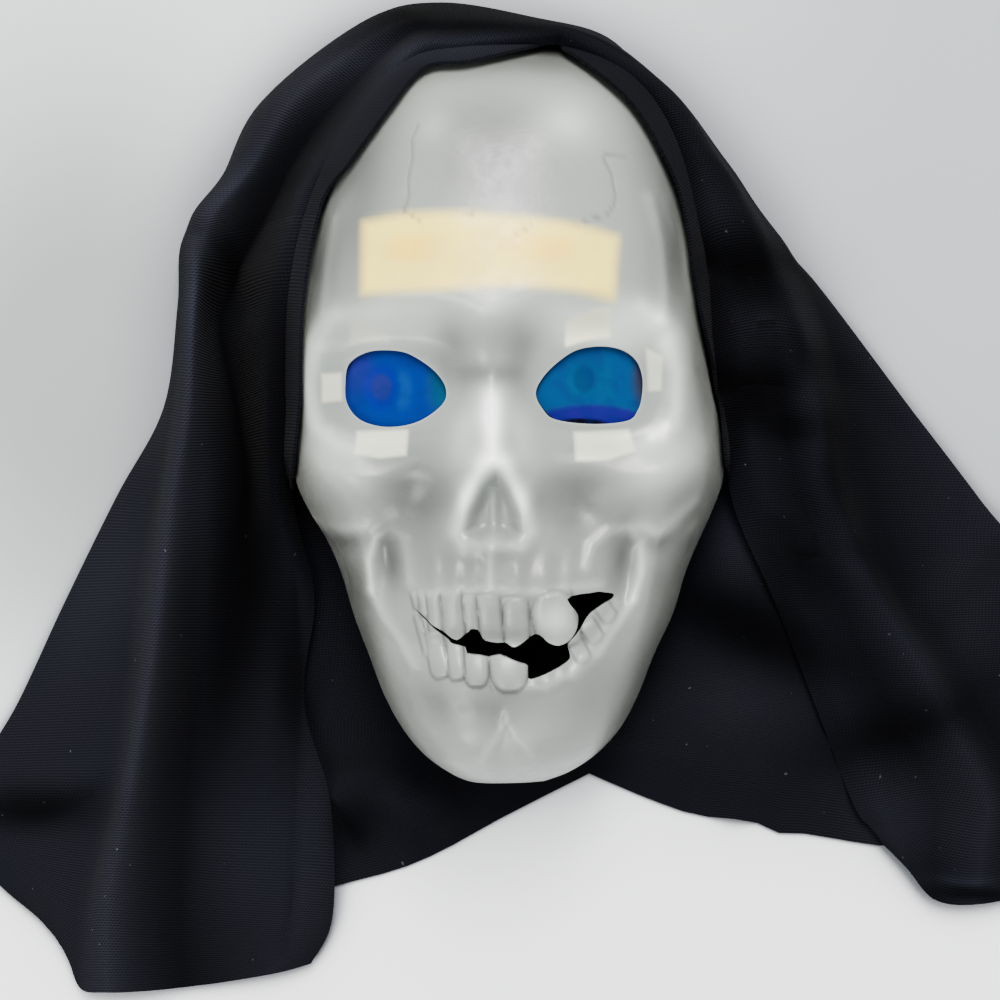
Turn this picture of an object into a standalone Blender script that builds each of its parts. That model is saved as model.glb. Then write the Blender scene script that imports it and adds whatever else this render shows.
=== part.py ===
"""Skull mask with a knit hood, lying face up. Metres, +Z up, forehead towards +Y."""
import bpy
import bmesh
import math

MM = 0.001
# The tables are in millimetres, with x = 0 on the middle of the nose.
# This shift puts the middle of the whole object over the origin.
CENTRE_X = 20.975
CENTRE_Y = -1.191
WALL = 1.8
# The shell's mesh: steps down and across, closer together between two heights of the face.
SHELL_ROWS = 44
SHELL_COLUMNS = 32
FACE_BOTTOM = -62.0
FACE_TOP = 66.0
FACE_DENSITY = 2.0
CLOTH = 1.2
CLOTH_CLEAR = 1.5
GAP = 0.4
# Steps of the cloth's mesh: ribs between stations, points over the folds and under them.
RIBS_BETWEEN = 2
OVER_STEPS = 15
UNDER_STEPS = 7
# How far inside the outer edge the cloth lies flat again.
EDGE_TURN = 4.0
# Cloth above this height is kept clear of the shell, in so many rounds.
LIFT_FROM = 8.0
LIFT_ROUNDS = 4

# The hood's outline is given in points of a square view from straight above.
# The eye is this far above the floor, and one millimetre that is one
# millimetre away spans so many points. The middle of the view is one of them.
EYE_HEIGHT = 600.0
EYE_X = 2.87
POINTS_PER_MM = 1635.0
VIEW_MIDDLE = 500

# Rows of the skull shell from the top edge to the chin edge.
# y, half widths to the left and right, height on the midline, rim height, fullness
SKULL_ROWS = [
    (157, 20, 30, 38, 36, 2.2),
    (154, 29, 40, 47, 33, 2.2),
    (147, 38, 50, 58, 29, 2.2),
    (136, 47, 58, 69, 24, 2.2),
    (120, 56, 65, 78, 20, 2.2),
    (100, 64.5, 70, 85, 16, 2.2),
    (79, 68.5, 73.5, 88, 13, 2.3),
    (61, 70, 75, 87.5, 11, 2.4),
    (43, 70.5, 77.5, 82, 8, 2.5),
    (29, 70.5, 80.8, 79, 5, 2.6),
    (16, 71.8, 82.8, 78, 3.5, 2.6),
    (6, 70, 82.5, 77, 3, 2.5),
    (-4, 65.5, 79, 76.5, 3, 2.4),
    (-14, 59.2, 74.4, 76.5, 3.5, 2.4),
    (-26, 53.8, 69.2, 77, 5, 2.4),
    (-40, 49.5, 64.8, 77.5, 6, 2.4),
    (-54, 44, 58, 76.5, 8, 2.4),
    (-68, 38.5, 52.3, 75, 9, 2.4),
    (-79, 32, 46, 72, 13, 2.4),
    (-87.4, 24.6, 38, 65, 17, 2.4),
    (-93.4, 16.5, 29.5, 54, 21, 2.3),
    (-97, 10.5, 22, 40, 25, 2.2),
    (-98.2, 7.5, 18.5, 31, 28, 2.2),
]

TOP_EDGE = SKULL_ROWS[0][0]
CHIN_EDGE = SKULL_ROWS[-1][0]
# The relief fades out over these spans: near the top, near the chin, and at the
# sides from this share of the half width on.
TOP_FADE = 25.0
CHIN_FADE = 10.0
SIDE_FADE_FROM = 0.86
SIDE_FADE = 0.12

# Soft bumps and hollows: name, x, y, reach in x, reach in y, turn in degrees, height
SKULL_LUMPS = [
    ("brow left", -36, 57, 24, 7, 6, 4.5),
    ("brow right", 38, 57, 25, 7, -8, 4.5),
    ("brow middle", 0, 55, 14, 9, 0, 1.5),
    ("frown notch", 0, 43, 4, 7, 0, -2.5),
    ("outer rim left", -62, 40, 7, 18, 0, 6.0),
    ("outer rim right", 60, 42, 7, 18, 0, 6.0),
    ("nose bone", 0.5, 25, 8, 19, 0, 6.5),
    ("nose tip rim", 1.5, 10, 8, 5, 0, 4.5),
    ("nose rim left", -9, -2, 4, 9, 20, 3.0),
    ("nose rim right", 11, -2, 4, 9, -20, 3.0),
    ("nose foot", 1, -16, 9, 5, 0, 2.5),
    ("cheek bone left", -52, 8, 15, 10, -25, 8.0),
    ("cheek bone right", 60, 8, 16, 10, 25, 8.0),
    ("under eye left", -30, 18, 16, 6, 8, 4.0),
    ("under eye right", 34, 18, 17, 6, -8, 4.0),
    ("cheek hollow left", -24, 0, 9, 10, 15, -4.0),
    ("cheek hollow right", 28, -1, 10, 10, -15, -4.0),
    ("jaw hollow left", -33, -22, 5, 13, 8, -7.0),
    ("jaw hollow right", 44, -22, 5.5, 13, -8, -7.0),
    ("jaw ridge left", -41, -24, 4, 16, 10, 2.5),
    ("jaw ridge right", 52, -24, 4.5, 16, -8, 2.5),
    ("upper jaw", 2, -25, 26, 9, 0, 4.0),
    ("lower jaw", 2, -60, 24, 8, 0, 2.0),
    ("mouth line", 2, -46, 27, 4, 0, -3.5),
    ("chin left", -6, -80, 9, 9, 0, 2.5),
    ("chin right", 12, -80, 9, 9, 0, 2.5),
    ("chin cleft", 3, -78, 3, 9, 0, -1.5),
    ("temple left", -58, 78, 9, 20, 0, -5.0),
    ("temple right", 62, 78, 9, 20, 0, -5.0),
]

# Flat floors of the eye sockets, so that a flat lens lies close behind.
# name, x, y, reach in x, reach in y, height, slope along x, slope along y
SOCKETS = [
    ("left", -31.5, 36.5, 22, 16.5, 68.5, 0.24, 0.08),
    ("right", 33.5, 37.5, 23, 16.5, 69.0, -0.20, 0.08),
]
# The floor's shape goes from round at 2 to square above it, and blends out over this share.
SOCKET_FULL = 2.6
SOCKET_BLEND = 0.6

EYE_HOLES = {
    "left": [(-48, 38), (-46.7, 45), (-39.4, 48.6), (-29.5, 48.4), (-20.9, 44.3), (-15.3, 36.3),
             (-18.3, 30.4), (-25.5, 25.4), (-34.1, 23.8), (-42.7, 26.1), (-47.3, 31.4)],
    "right": [(14.6, 35.3), (17.1, 41.9), (24.3, 48), (35.2, 50.2), (45.8, 48.5), (50, 42.3),
              (50.2, 34.3), (47.4, 28.1), (39.9, 24.8), (27.6, 24.8), (18.7, 28.4)],
}

MOUTH = [(-25, -34.8), (-22.2, -36.8), (-16.4, -41.5), (-10.9, -44.6), (-7.1, -42.1), (-4.2, -41.8),
         (-2.5, -44.5), (2.2, -45.6), (6.2, -46.5), (9.7, -46), (13.2, -43.5), (16.4, -43.8),
         (19.9, -46.2), (24, -45.6), (27.2, -42.1), (27.6, -36.5), (24.5, -31.9), (31.8, -30),
         (39.4, -30.6), (34.1, -35.1), (28.9, -41.5), (24.8, -46.1), (25.2, -51.1), (17.3, -55.8),
         (12, -56.8), (11.6, -53), (4.5, -50.2), (-3.6, -49.8), (-7.9, -48.6), (-14, -45),
         (-18.7, -41.2), (-22, -38.2)]

# Recess of the nose: the same shape, growing towards the outside, and its depth
NOSE_HOLE = [(1.9, 8.5), (-2.5, 3.5), (-6.5, -4.5), (-7.8, -10), (-4, -12), (0.6, -10.5), (5, -12.3),
             (9.2, -10.6), (9, -5.5), (5.8, 2.8)]
NOSE_DEPTH = 7.0
NOSE_SLOPE = 4.0
# Bone between the nostrils: middle, top end, height, width
SEPTUM_X = 0.8
SEPTUM_TOP = 4.0
SEPTUM_HEIGHT = 1.5
SEPTUM_WIDTH = 1.6

# The holes are cut between these heights.
CUT_LOW = 30.0
CUT_HIGH = 120.0

# Teeth: x, y, width, height, how far they stand out, turn in degrees
TEETH = [
    (-22.9, -32.8, 3.4, 7.0, 1.4, 0),
    (-18.4, -35.1, 4.2, 11.0, 1.8, 0),
    (-12.4, -37.0, 6.2, 13.5, 2.2, 0),
    (-6.6, -36.0, 4.4, 10.5, 1.8, 0),
    (-0.3, -38.6, 7.0, 13.5, 2.4, 0),
    (8.0, -39.6, 7.6, 13.5, 2.6, 0),
    (20.4, -38.6, 12.6, 13.0, 4.0, -14),
    (-17.0, -51.5, 6.0, 11.5, 1.8, 8),
    (-11.1, -52.6, 5.2, 11.5, 2.0, 4),
    (-4.6, -54.6, 7.2, 9.8, 2.2, 0),
    (5.7, -56.0, 11.6, 10.0, 2.6, 4),
    (28.2, -49.2, 5.0, 8.5, 1.8, -18),
    (36.5, -39.8, 7.0, 7.0, 1.8, -35),
]


def smooth_step(t):
    t = min(1.0, max(0.0, t))
    return t * t * (3 - 2 * t)


def catmull(p0, p1, p2, p3, t):
    """A smooth value between p1 and p2."""
    a = 2 * p1
    b = p2 - p0
    c = 2 * p0 - 5 * p1 + 4 * p2 - p3
    d = 3 * p1 - p0 - 3 * p2 + p3
    return 0.5 * (a + b * t + c * t * t + d * t * t * t)


def row_at(rows, place):
    """A row of the table at a place between 0 and the last row, each column smoothed."""
    last = len(rows) - 1
    i = min(last - 1, max(0, int(place)))
    t = place - i
    before = rows[max(0, i - 1)]
    after = rows[min(last, i + 2)]
    return [catmull(before[k], rows[i][k], rows[i + 1][k], after[k], t) for k in range(len(rows[0]))]


def inside_distance(outline, x, y):
    """Distance from a closed outline, positive inside it."""
    inside = False
    nearest = 1e9
    count = len(outline)
    for i in range(count):
        ax, ay = outline[i]
        bx, by = outline[(i + 1) % count]
        if (ay > y) != (by > y) and x < ax + (y - ay) * (bx - ax) / (by - ay):
            inside = not inside
        dx, dy = bx - ax, by - ay
        t = min(1.0, max(0.0, ((x - ax) * dx + (y - ay) * dy) / (dx * dx + dy * dy)))
        nearest = min(nearest, math.hypot(x - ax - t * dx, y - ay - t * dy))
    return nearest if inside else -nearest


def lump_height(x, y):
    """All the soft bumps and hollows of the face together."""
    total = 0.0
    for _, cx, cy, rx, ry, turn, height in SKULL_LUMPS:
        angle = math.radians(turn)
        dx, dy = x - cx, y - cy
        u = (dx * math.cos(angle) + dy * math.sin(angle)) / rx
        v = (dy * math.cos(angle) - dx * math.sin(angle)) / ry
        r = u * u + v * v
        if r < 6:
            total += height * math.exp(-r)
    return total


def socket_weight(x, y):
    """How much of a socket's floor there is here, and the floor's height."""
    for _, cx, cy, rx, ry, height, slope_x, slope_y in SOCKETS:
        r = (abs((x - cx) / rx) ** SOCKET_FULL + abs((y - cy) / ry) ** SOCKET_FULL) ** (1 / SOCKET_FULL)
        if r < 1.0 + SOCKET_BLEND:
            floor = height + slope_x * (x - cx) + slope_y * (y - cy)
            return 1 - smooth_step((r - 1.0) / SOCKET_BLEND), floor
    return 0.0, 0.0


def face_relief(x, y, plain, fade):
    """Height of the face over a plain section: lumps, sockets and nose recess."""
    z = plain + lump_height(x, y) * fade
    weight, floor = socket_weight(x, y)
    z += (floor - z) * weight * fade
    hole = inside_distance(NOSE_HOLE, x, y)
    septum = SEPTUM_HEIGHT * math.exp(-((x - SEPTUM_X) / SEPTUM_WIDTH) ** 2) if y < SEPTUM_TOP else 0.0
    z -= (NOSE_DEPTH - septum) * smooth_step((hole + 1.0) / NOSE_SLOPE) * fade
    return z


def skull_point(place, across, inset):
    """A point of the shell: place runs down the rows, across from -1 to 1."""
    y, left, right, crest, rim, full = row_at(SKULL_ROWS, place)
    ahead = row_at(SKULL_ROWS, min(len(SKULL_ROWS) - 1, place + 0.1))
    behind = row_at(SKULL_ROWS, max(0, place - 0.1))
    along_y, along_z = ahead[0] - behind[0], ahead[3] - behind[3]
    length = math.hypot(along_y, along_z)
    y -= inset * along_z / length
    crest += inset * along_y / length
    half = (right if across > 0 else left) - inset
    x = half * across
    arch = max(0.0, 1 - abs(across) ** full) ** (1 / full)
    plain = rim + max(0.5, crest - rim) * arch
    edge = 1 - smooth_step((abs(across) - SIDE_FADE_FROM) / SIDE_FADE)
    ends = smooth_step((TOP_EDGE - y) / TOP_FADE) * smooth_step((y - CHIN_EDGE) / CHIN_FADE)
    return x, y, plain, edge * ends


def row_places(count):
    """Places down the shell's rows, closer together over the eyes, nose and mouth."""
    fine = 600
    last = len(SKULL_ROWS) - 1
    travelled = [0.0]
    before = row_at(SKULL_ROWS, 0.0)
    for k in range(1, fine + 1):
        row = row_at(SKULL_ROWS, last * k / fine)
        step = math.hypot(row[0] - before[0], row[3] - before[3])
        inside = FACE_BOTTOM < row[0] < FACE_TOP
        travelled.append(travelled[-1] + step * (FACE_DENSITY if inside else 1.0))
        before = row
    places = []
    k = 0
    for i in range(count + 1):
        goal = travelled[-1] * i / count
        while k < fine - 1 and travelled[k + 1] < goal:
            k += 1
        share = (goal - travelled[k]) / (travelled[k + 1] - travelled[k])
        places.append(last * (k + min(1.0, max(0.0, share))) / fine)
    return places


def skull_grids(rows, columns):
    """Points of the outer and the inner face of the shell, with the same relief."""
    outer, inner = [], []
    for place in row_places(rows):
        for j in range(columns + 1):
            even = 2 * j / columns - 1
            across = 0.5 * even + 0.5 * math.sin(even * math.pi / 2)
            x, y, plain, fade = skull_point(place, across, 0.0)
            height = face_relief(x, y, plain, fade)
            outer.append((x, y, height))
            x, y, under, _ = skull_point(place, across, WALL)
            inner.append((x, y, height - max(0.0, plain - under)))
    return outer, inner


def mesh_object(name, points, faces):
    """An object from points in millimetres."""
    mesh = bpy.data.meshes.new(name)
    placed = [((x - CENTRE_X) * MM, (y - CENTRE_Y) * MM, z * MM) for x, y, z in points]
    mesh.from_pydata(placed, [], faces)
    mesh.update()
    made = bpy.data.objects.new(name, mesh)
    bpy.context.scene.collection.objects.link(made)
    bm = bmesh.new()
    bm.from_mesh(mesh)
    bmesh.ops.recalc_face_normals(bm, faces=bm.faces)
    if bm.calc_volume(signed=True) < 0:
        bmesh.ops.reverse_faces(bm, faces=bm.faces)
    bm.to_mesh(mesh)
    bm.free()
    return made


def grid_faces(rows, columns, first, flip):
    """Quads of a grid of points that start at the index first."""
    faces = []
    for i in range(rows):
        for j in range(columns):
            a = first + i * (columns + 1) + j
            quad = (a, a + 1, a + columns + 2, a + columns + 1)
            faces.append(quad[::-1] if flip else quad)
    return faces


def grid_border(rows, columns, first):
    """Indices round the border of a grid, in order."""
    wide = columns + 1
    top = [first + j for j in range(columns)]
    right = [first + i * wide + columns for i in range(rows)]
    bottom = [first + rows * wide + j for j in range(columns, 0, -1)]
    left = [first + i * wide for i in range(rows, 0, -1)]
    return top + right + bottom + left


def skull_shell(rows, columns):
    """The shell: its outside, its inside and the rim between them."""
    outer, inner = skull_grids(rows, columns)
    count = len(outer)
    faces = grid_faces(rows, columns, 0, False) + grid_faces(rows, columns, count, True)
    border = grid_border(rows, columns, 0)
    for k, a in enumerate(border):
        b = border[(k + 1) % len(border)]
        faces.append((b, a, a + count, b + count))
    return mesh_object("skull_face", outer + inner, faces)


def prism(name, outline, low, high):
    """A straight prism with the outline, between two heights."""
    count = len(outline)
    points = [(x, y, low) for x, y in outline] + [(x, y, high) for x, y in outline]
    faces = [tuple(range(count))[::-1], tuple(range(count, 2 * count))]
    for i in range(count):
        n = (i + 1) % count
        faces.append((i, n, n + count, i + count))
    return mesh_object(name, points, faces)


def rounded(outline, steps):
    """The outline with smooth curves through its points."""
    count = len(outline)
    fine = []
    for i in range(count):
        four = [outline[(i + k) % count] for k in (-1, 0, 1, 2)]
        for s in range(steps):
            fine.append(tuple(catmull(*[p[k] for p in four], s / steps) for k in (0, 1)))
    return fine


def apply_boolean(target, tool, operation):
    """Adds the tool to the target or cuts it away, and removes the tool.
    The exact solver leaves the thin shell open, so it isn't the one used."""
    tool.hide_render = True
    tool.display_type = "WIRE"
    modifier = target.modifiers.new(operation, "BOOLEAN")
    modifier.operation = operation
    modifier.solver = "MANIFOLD"
    modifier.object = tool
    bpy.context.view_layer.update()
    result = target.evaluated_get(bpy.context.evaluated_depsgraph_get())
    mesh = bpy.data.meshes.new_from_object(result)
    target.modifiers.clear()
    target.data = mesh
    bpy.data.objects.remove(tool)


def surface_height(x, y, inset):
    """Height of the shell's face over a place, found by halving along the rows and columns."""
    low, high = 0.0, len(SKULL_ROWS) - 1.0
    for _ in range(30):
        middle = (low + high) / 2
        if skull_point(middle, 0.0, inset)[1] > y:
            low = middle
        else:
            high = middle
    row = row_at(SKULL_ROWS, low)
    half = (row[2] if x > 0 else row[1]) - inset
    if abs(x) >= half:
        return None
    px, py, plain, fade = skull_point(low, x / half, inset)
    return face_relief(px, py, plain, fade)


# A tooth has eight corners and three levels. Columns: share of its size, lift, share of how far it stands out
TOOTH_CORNERS = 8
TOOTH_LEVELS = [(1.0, -1.0, 0.0), (1.0, 0.0, 0.45), (0.78, 0.0, 1.0)]
TOOTH_SIDE = 1.08


def turned(x, y, u, v, degrees):
    """The point at u, v from x, y on axes turned by the angle."""
    angle = math.radians(degrees)
    return x + u * math.cos(angle) - v * math.sin(angle), y + u * math.sin(angle) + v * math.cos(angle)


def tooth(index, x, y, width, height, out, turn):
    """One tooth: a rounded block that stands out of the shell."""
    base = surface_height(x, y, 0.0)
    count = TOOTH_CORNERS
    points = []
    for size, sunk, share in TOOTH_LEVELS:
        for k in range(count):
            angle = (k + 0.5) * 2 * math.pi / count
            across, along = TOOTH_SIDE * math.cos(angle), TOOTH_SIDE * math.sin(angle)
            u = width / 2 * size * max(-1.0, min(1.0, across))
            v = height / 2 * size * max(-1.0, min(1.0, along))
            points.append(turned(x, y, u, v, turn) + (base + sunk + share * out,))
    top = len(points) - count
    faces = [tuple(range(count))[::-1], tuple(range(top, top + count))]
    for first in range(0, top, count):
        for k in range(count):
            a, b = first + k, first + (k + 1) % count
            faces.append((a, b, b + count, a + count))
    return mesh_object("tooth_%d" % index, points, faces)


def build_skull():
    shell = skull_shell(SHELL_ROWS, SHELL_COLUMNS)
    for outline in EYE_HOLES.values():
        apply_boolean(shell, prism("hole", rounded(outline, 2), CUT_LOW, CUT_HIGH), "DIFFERENCE")
    for index, row in enumerate(TEETH):
        apply_boolean(shell, tooth(index, *row), "UNION")
    apply_boolean(shell, prism("mouth", MOUTH, CUT_LOW, CUT_HIGH), "DIFFERENCE")
    return shell


def socket_floor(side, x, y):
    for name, cx, cy, _, _, height, slope_x, slope_y in SOCKETS:
        if name == side:
            return height + slope_x * (x - cx) + slope_y * (y - cy)
    return 0.0


def plate(name, side, outline, drop, thick):
    """A flat sheet parallel to a socket's floor, a drop below it."""
    count = len(outline)
    upper = [(x, y, socket_floor(side, x, y) - drop) for x, y in outline]
    lower = [(x, y, z - thick) for x, y, z in upper]
    faces = [tuple(range(count)), tuple(range(count, 2 * count))[::-1]]
    for i in range(count):
        n = (i + 1) % count
        faces.append((n, i, i + count, n + count))
    return mesh_object(name, upper + lower, faces)


LENS_DROP = WALL + 0.9
LENS_THICK = 0.8
LENS_HALF_WIDTH = 19.5
LENS_HALF_HEIGHT = 15.0
LENS_CORNERS = 28


def build_lens(name, side, cx, cy):
    """An oval flat lens about the middle of its socket."""
    oval = []
    for k in range(LENS_CORNERS):
        angle = 2 * math.pi * k / LENS_CORNERS
        oval.append((cx + LENS_HALF_WIDTH * math.cos(angle), cy + LENS_HALF_HEIGHT * math.sin(angle)))
    return plate(name, side, oval, LENS_DROP, LENS_THICK)


TAB_THICK = 0.5
# Tape tabs: name, side, middle x, middle y, width, height, turn in degrees
TABS = [
    ("lens_tape_left_outer", "left", -52.0, 35.0, 8, 10, 0),
    ("lens_tape_left_lower", "left", -36.0, 18.5, 17, 9, 4),
    ("lens_tape_right_upper", "right", 31.5, 55.0, 15, 10, 4),
    ("lens_tape_right_lower", "right", 36.5, 20.0, 19, 10, 3),
    ("lens_tape_right_outer", "right", 54.5, 42.0, 7, 12, 0),
]


def build_tab(name, side, x, y, width, height, turn):
    """A piece of tape behind a lens."""
    signs = ((-1, -1), (1, -1), (1, 1), (-1, 1))
    corners = [turned(x, y, u * width / 2, v * height / 2, turn) for u, v in signs]
    return plate(name, side, corners, LENS_DROP + LENS_THICK + GAP, TAB_THICK)


PAD_LEFT, PAD_RIGHT = -41.0, 40.0
PAD_TOP, PAD_BOTTOM = 89.0, 65.0
PAD_THICK = 5.0
PAD_DROP = 3.4
PAD_COLUMNS = 16
PAD_ROWS = 4


def build_pad():
    """The foam strip, bent to follow the inside of the forehead."""
    columns, rows = PAD_COLUMNS, PAD_ROWS
    points = []
    for level in (0.0, PAD_THICK):
        for i in range(rows + 1):
            for j in range(columns + 1):
                u = 2 * j / columns - 1
                v = 2 * i / rows - 1
                x = (PAD_LEFT + PAD_RIGHT) / 2 + u * (PAD_RIGHT - PAD_LEFT) / 2
                y = (PAD_TOP + PAD_BOTTOM) / 2 - v * (PAD_TOP - PAD_BOTTOM) / 2
                points.append((x, y, surface_height(x, y, 0.0) - PAD_DROP - level))
    count = (rows + 1) * (columns + 1)
    faces = grid_faces(rows, columns, 0, False) + grid_faces(rows, columns, count, True)
    border = grid_border(rows, columns, 0)
    for k, a in enumerate(border):
        b = border[(k + 1) % len(border)]
        faces.append((b, a, a + count, b + count))
    return mesh_object("forehead_pad", points, faces)


# The hood's ribs: points of the view, across and down, each with its height in
# millimetres. Each rib runs from the edge at the face over the folds to the outer
# edge. Under the object the cloth goes on flat to the middle of the back.
# Columns: front edge, roll, valley, fold top, fold foot, outer edge
HOOD_TOP = [(549, 44, 56), (546, 35, 61), (544, 29, 60), (541, 24, 55), (540, 21, 44), (540, 20, 26)]
HOOD_LEFT = [
    [(470, 61, 54), (460, 42, 61), (452, 30, 58), (448, 20, 54), (445, 12, 44), (441, 4, 24)],
    [(424, 68, 52), (412, 50, 59), (402, 40, 52), (392, 28, 50), (376, 18, 36), (366, 22, 12)],
    [(389, 109, 48), (360, 110, 55), (330, 112, 40), (298, 96, 40), (276, 92, 28), (262, 103, 6)],
    [(351, 161, 46), (322, 162, 52), (292, 168, 26), (250, 168, 34), (228, 172, 28), (222, 180, 6)],
    [(321, 206, 42), (299, 206, 48), (268, 216, 16), (206, 226, 36), (189, 226, 30), (184, 238, 8)],
    [(303, 303, 30), (275, 303, 38), (222, 315, 12), (194, 300, 36), (183, 302, 22), (179, 306, 6)],
    [(300, 399, 22), (271, 399, 32), (236, 410, 8), (188, 410, 37), (172, 408, 20), (165, 408, 5)],
    [(293, 500, 6), (276, 500, 17), (242, 497, 5), (172, 500, 35), (155, 500, 14), (118, 497, 3)],
    [(314, 600, 5), (290, 600, 8), (215, 600, 5), (160, 600, 33), (134, 600, 13), (66, 603, 3)],
    [(303, 700, 6), (275, 702, 8), (197, 700, 5), (145, 700, 29), (121, 698, 10), (20, 702, 3)],
    [(330, 800, 6), (300, 800, 7), (184, 800, 5), (127, 800, 23), (101, 800, 8), (-32, 800, 3)],
    [(333, 914, 5), (302, 912, 6), (180, 905, 5), (108, 900, 15), (77, 900, 6), (-10, 872, 3)],
    [(311, 963, 4), (270, 974, 5), (185, 987, 4), (108, 992, 9), (79, 985, 4), (69, 938, 3)],
]
HOOD_RIGHT = [
    [(565, 50, 54), (566, 36, 60), (572, 32, 58), (582, 32, 54), (594, 34, 42), (602, 36, 22)],
    [(596, 71, 51), (604, 54, 57), (616, 52, 54), (626, 54, 50), (636, 62, 34), (641, 70, 8)],
    [(633, 105, 46), (656, 92, 53), (672, 94, 50), (684, 106, 42), (691, 116, 28), (697, 128, 5)],
    [(662, 152, 42), (690, 140, 49), (708, 148, 46), (718, 158, 36), (727, 166, 22), (733, 172, 5)],
    [(683, 206, 38), (708, 190, 45), (734, 192, 42), (750, 208, 32), (762, 220, 18), (768, 226, 5)],
    [(694, 303, 30), (730, 290, 39), (765, 285, 37), (788, 290, 33), (808, 290, 14), (826, 298, 5)],
    [(711, 400, 20), (745, 396, 29), (780, 396, 26), (816, 400, 25), (848, 402, 9), (904, 402, 4)],
    [(733, 500, 9), (762, 496, 18), (800, 498, 14), (835, 502, 20), (872, 500, 7), (980, 502, 4)],
    [(775, 600, 5), (800, 598, 12), (838, 600, 10), (880, 600, 16), (918, 600, 6), (1050, 600, 4)],
    [(814, 700, 4), (840, 698, 9), (885, 700, 8), (938, 700, 13), (975, 700, 6), (1102, 690, 4)],
    [(853, 803, 4), (880, 798, 7), (930, 790, 8), (985, 795, 10), (1020, 790, 6), (1130, 785, 4)],
    [(870, 826, 4), (893, 830, 6), (934, 838, 7), (982, 846, 9), (1025, 838, 6), (1130, 815, 4)],
    [(886, 846, 4), (908, 869, 5), (934, 899, 6), (975, 904, 6), (1030, 890, 5), (1122, 838, 4)],
]

# Middle line of the back: a point for the top rib and one for each pair below it.
HOOD_BACK = [(540, 60), (538, 70), (535, 90), (532, 130), (530, 180), (530, 230), (530, 310), (535, 400),
             (540, 490), (550, 570), (565, 650), (577, 710), (585, 750), (589, 773)]

# Lower edge of the cloth under the face as points of the view, from the lowest
# rib of each side to the notch under the chin.
BACK_EDGE_LEFT = [(332, 886), (383, 873), (415, 863), (446, 848), (500, 818), (541, 797), (589, 773)]
BACK_EDGE_RIGHT = [(887, 846), (851, 841), (806, 833), (768, 832), (752, 818), (723, 816), (698, 816),
                   (666, 805), (628, 790), (589, 773)]


def from_view(px, py, z):
    """The place in millimetres of a point of the view at a known height."""
    reach = (EYE_HEIGHT - z) / POINTS_PER_MM
    return (px - VIEW_MIDDLE) * reach + EYE_X, (VIEW_MIDDLE - py) * reach, z


def polyline(points, steps):
    """Smooth curve through points, steps pieces in all, each span with its share."""
    spans = len(points) - 1
    out = []
    for k in range(steps + 1):
        place = spans * k / steps
        i = min(spans - 1, int(place))
        four = [points[max(0, i - 1)], points[i], points[i + 1], points[min(spans, i + 2)]]
        out.append(tuple(catmull(*[p[c] for p in four], place - i) for c in range(3)))
    return out


def even_path(points, steps):
    """Points at equal distances along straight runs between the given points."""
    lengths = [math.dist(a, b) for a, b in zip(points, points[1:])]
    total = sum(lengths)
    out = []
    for k in range(steps + 1):
        goal = total * k / steps
        i = 0
        while i < len(lengths) - 1 and goal > lengths[i]:
            goal -= lengths[i]
            i += 1
        share = min(1.0, goal / lengths[i])
        out.append(tuple(p + (q - p) * share for p, q in zip(points[i], points[i + 1])))
    return out


def rib_points(rib, back_point, low_edge, over_steps, under_steps):
    """One rib: over the folds, round the outer edge and back under it, flat on the floor."""
    over = polyline([from_view(*p) for p in rib], over_steps)
    middle = CLOTH / 2
    back = from_view(*back_point, 0)
    outer = over[-1]
    turn_in = EDGE_TURN / math.dist(outer[:2], back[:2])
    first = tuple(a + (b - a) * turn_in for a, b in zip(outer[:2], back[:2])) + (middle,)
    route = [first] + [from_view(px, py, 0)[:2] + (middle,) for px, py in low_edge]
    if not low_edge:
        route.append(back[:2] + (middle,))
    return over + even_path(route, under_steps)


def build_hood_sheet(ribs_between, over_steps, under_steps):
    """The middle of the cloth: ribs from the left lower edge over the top to the right."""
    table = HOOD_LEFT[::-1] + [HOOD_TOP] + HOOD_RIGHT
    backs = HOOD_BACK[:0:-1] + HOOD_BACK
    edges = [BACK_EDGE_LEFT] + [[]] * (len(table) - 2) + [BACK_EDGE_RIGHT]
    ribs = [rib_points(*row, over_steps, under_steps) for row in zip(table, backs, edges)]
    fine = []
    last = len(ribs) - 1
    for i in range(last):
        for s in range(ribs_between):
            t = s / ribs_between
            four = [ribs[max(0, i - 1)], ribs[i], ribs[i + 1], ribs[min(last, i + 2)]]
            row = []
            for k in range(len(ribs[0])):
                row.append(tuple(catmull(*[r[k][c] for r in four], t) for c in range(3)))
            fine.append(row)
    fine.append(ribs[last])
    return fine


def lift_off_skull(x, y, z):
    """Moves cloth that would be in the shell towards the eye, until it is clear."""
    if z <= LIFT_FROM:
        return x, y, z
    for _ in range(LIFT_ROUNDS):
        top = surface_height(x, y, -CLOTH / 2 - CLOTH_CLEAR)
        if top is None or z >= top + CLOTH_CLEAR + CLOTH / 2:
            return x, y, z
        raised = top + CLOTH_CLEAR + CLOTH / 2
        nearer = (EYE_HEIGHT - raised) / (EYE_HEIGHT - z)
        x, y, z = EYE_X + (x - EYE_X) * nearer, y * nearer, raised
    return x, y, z


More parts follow.
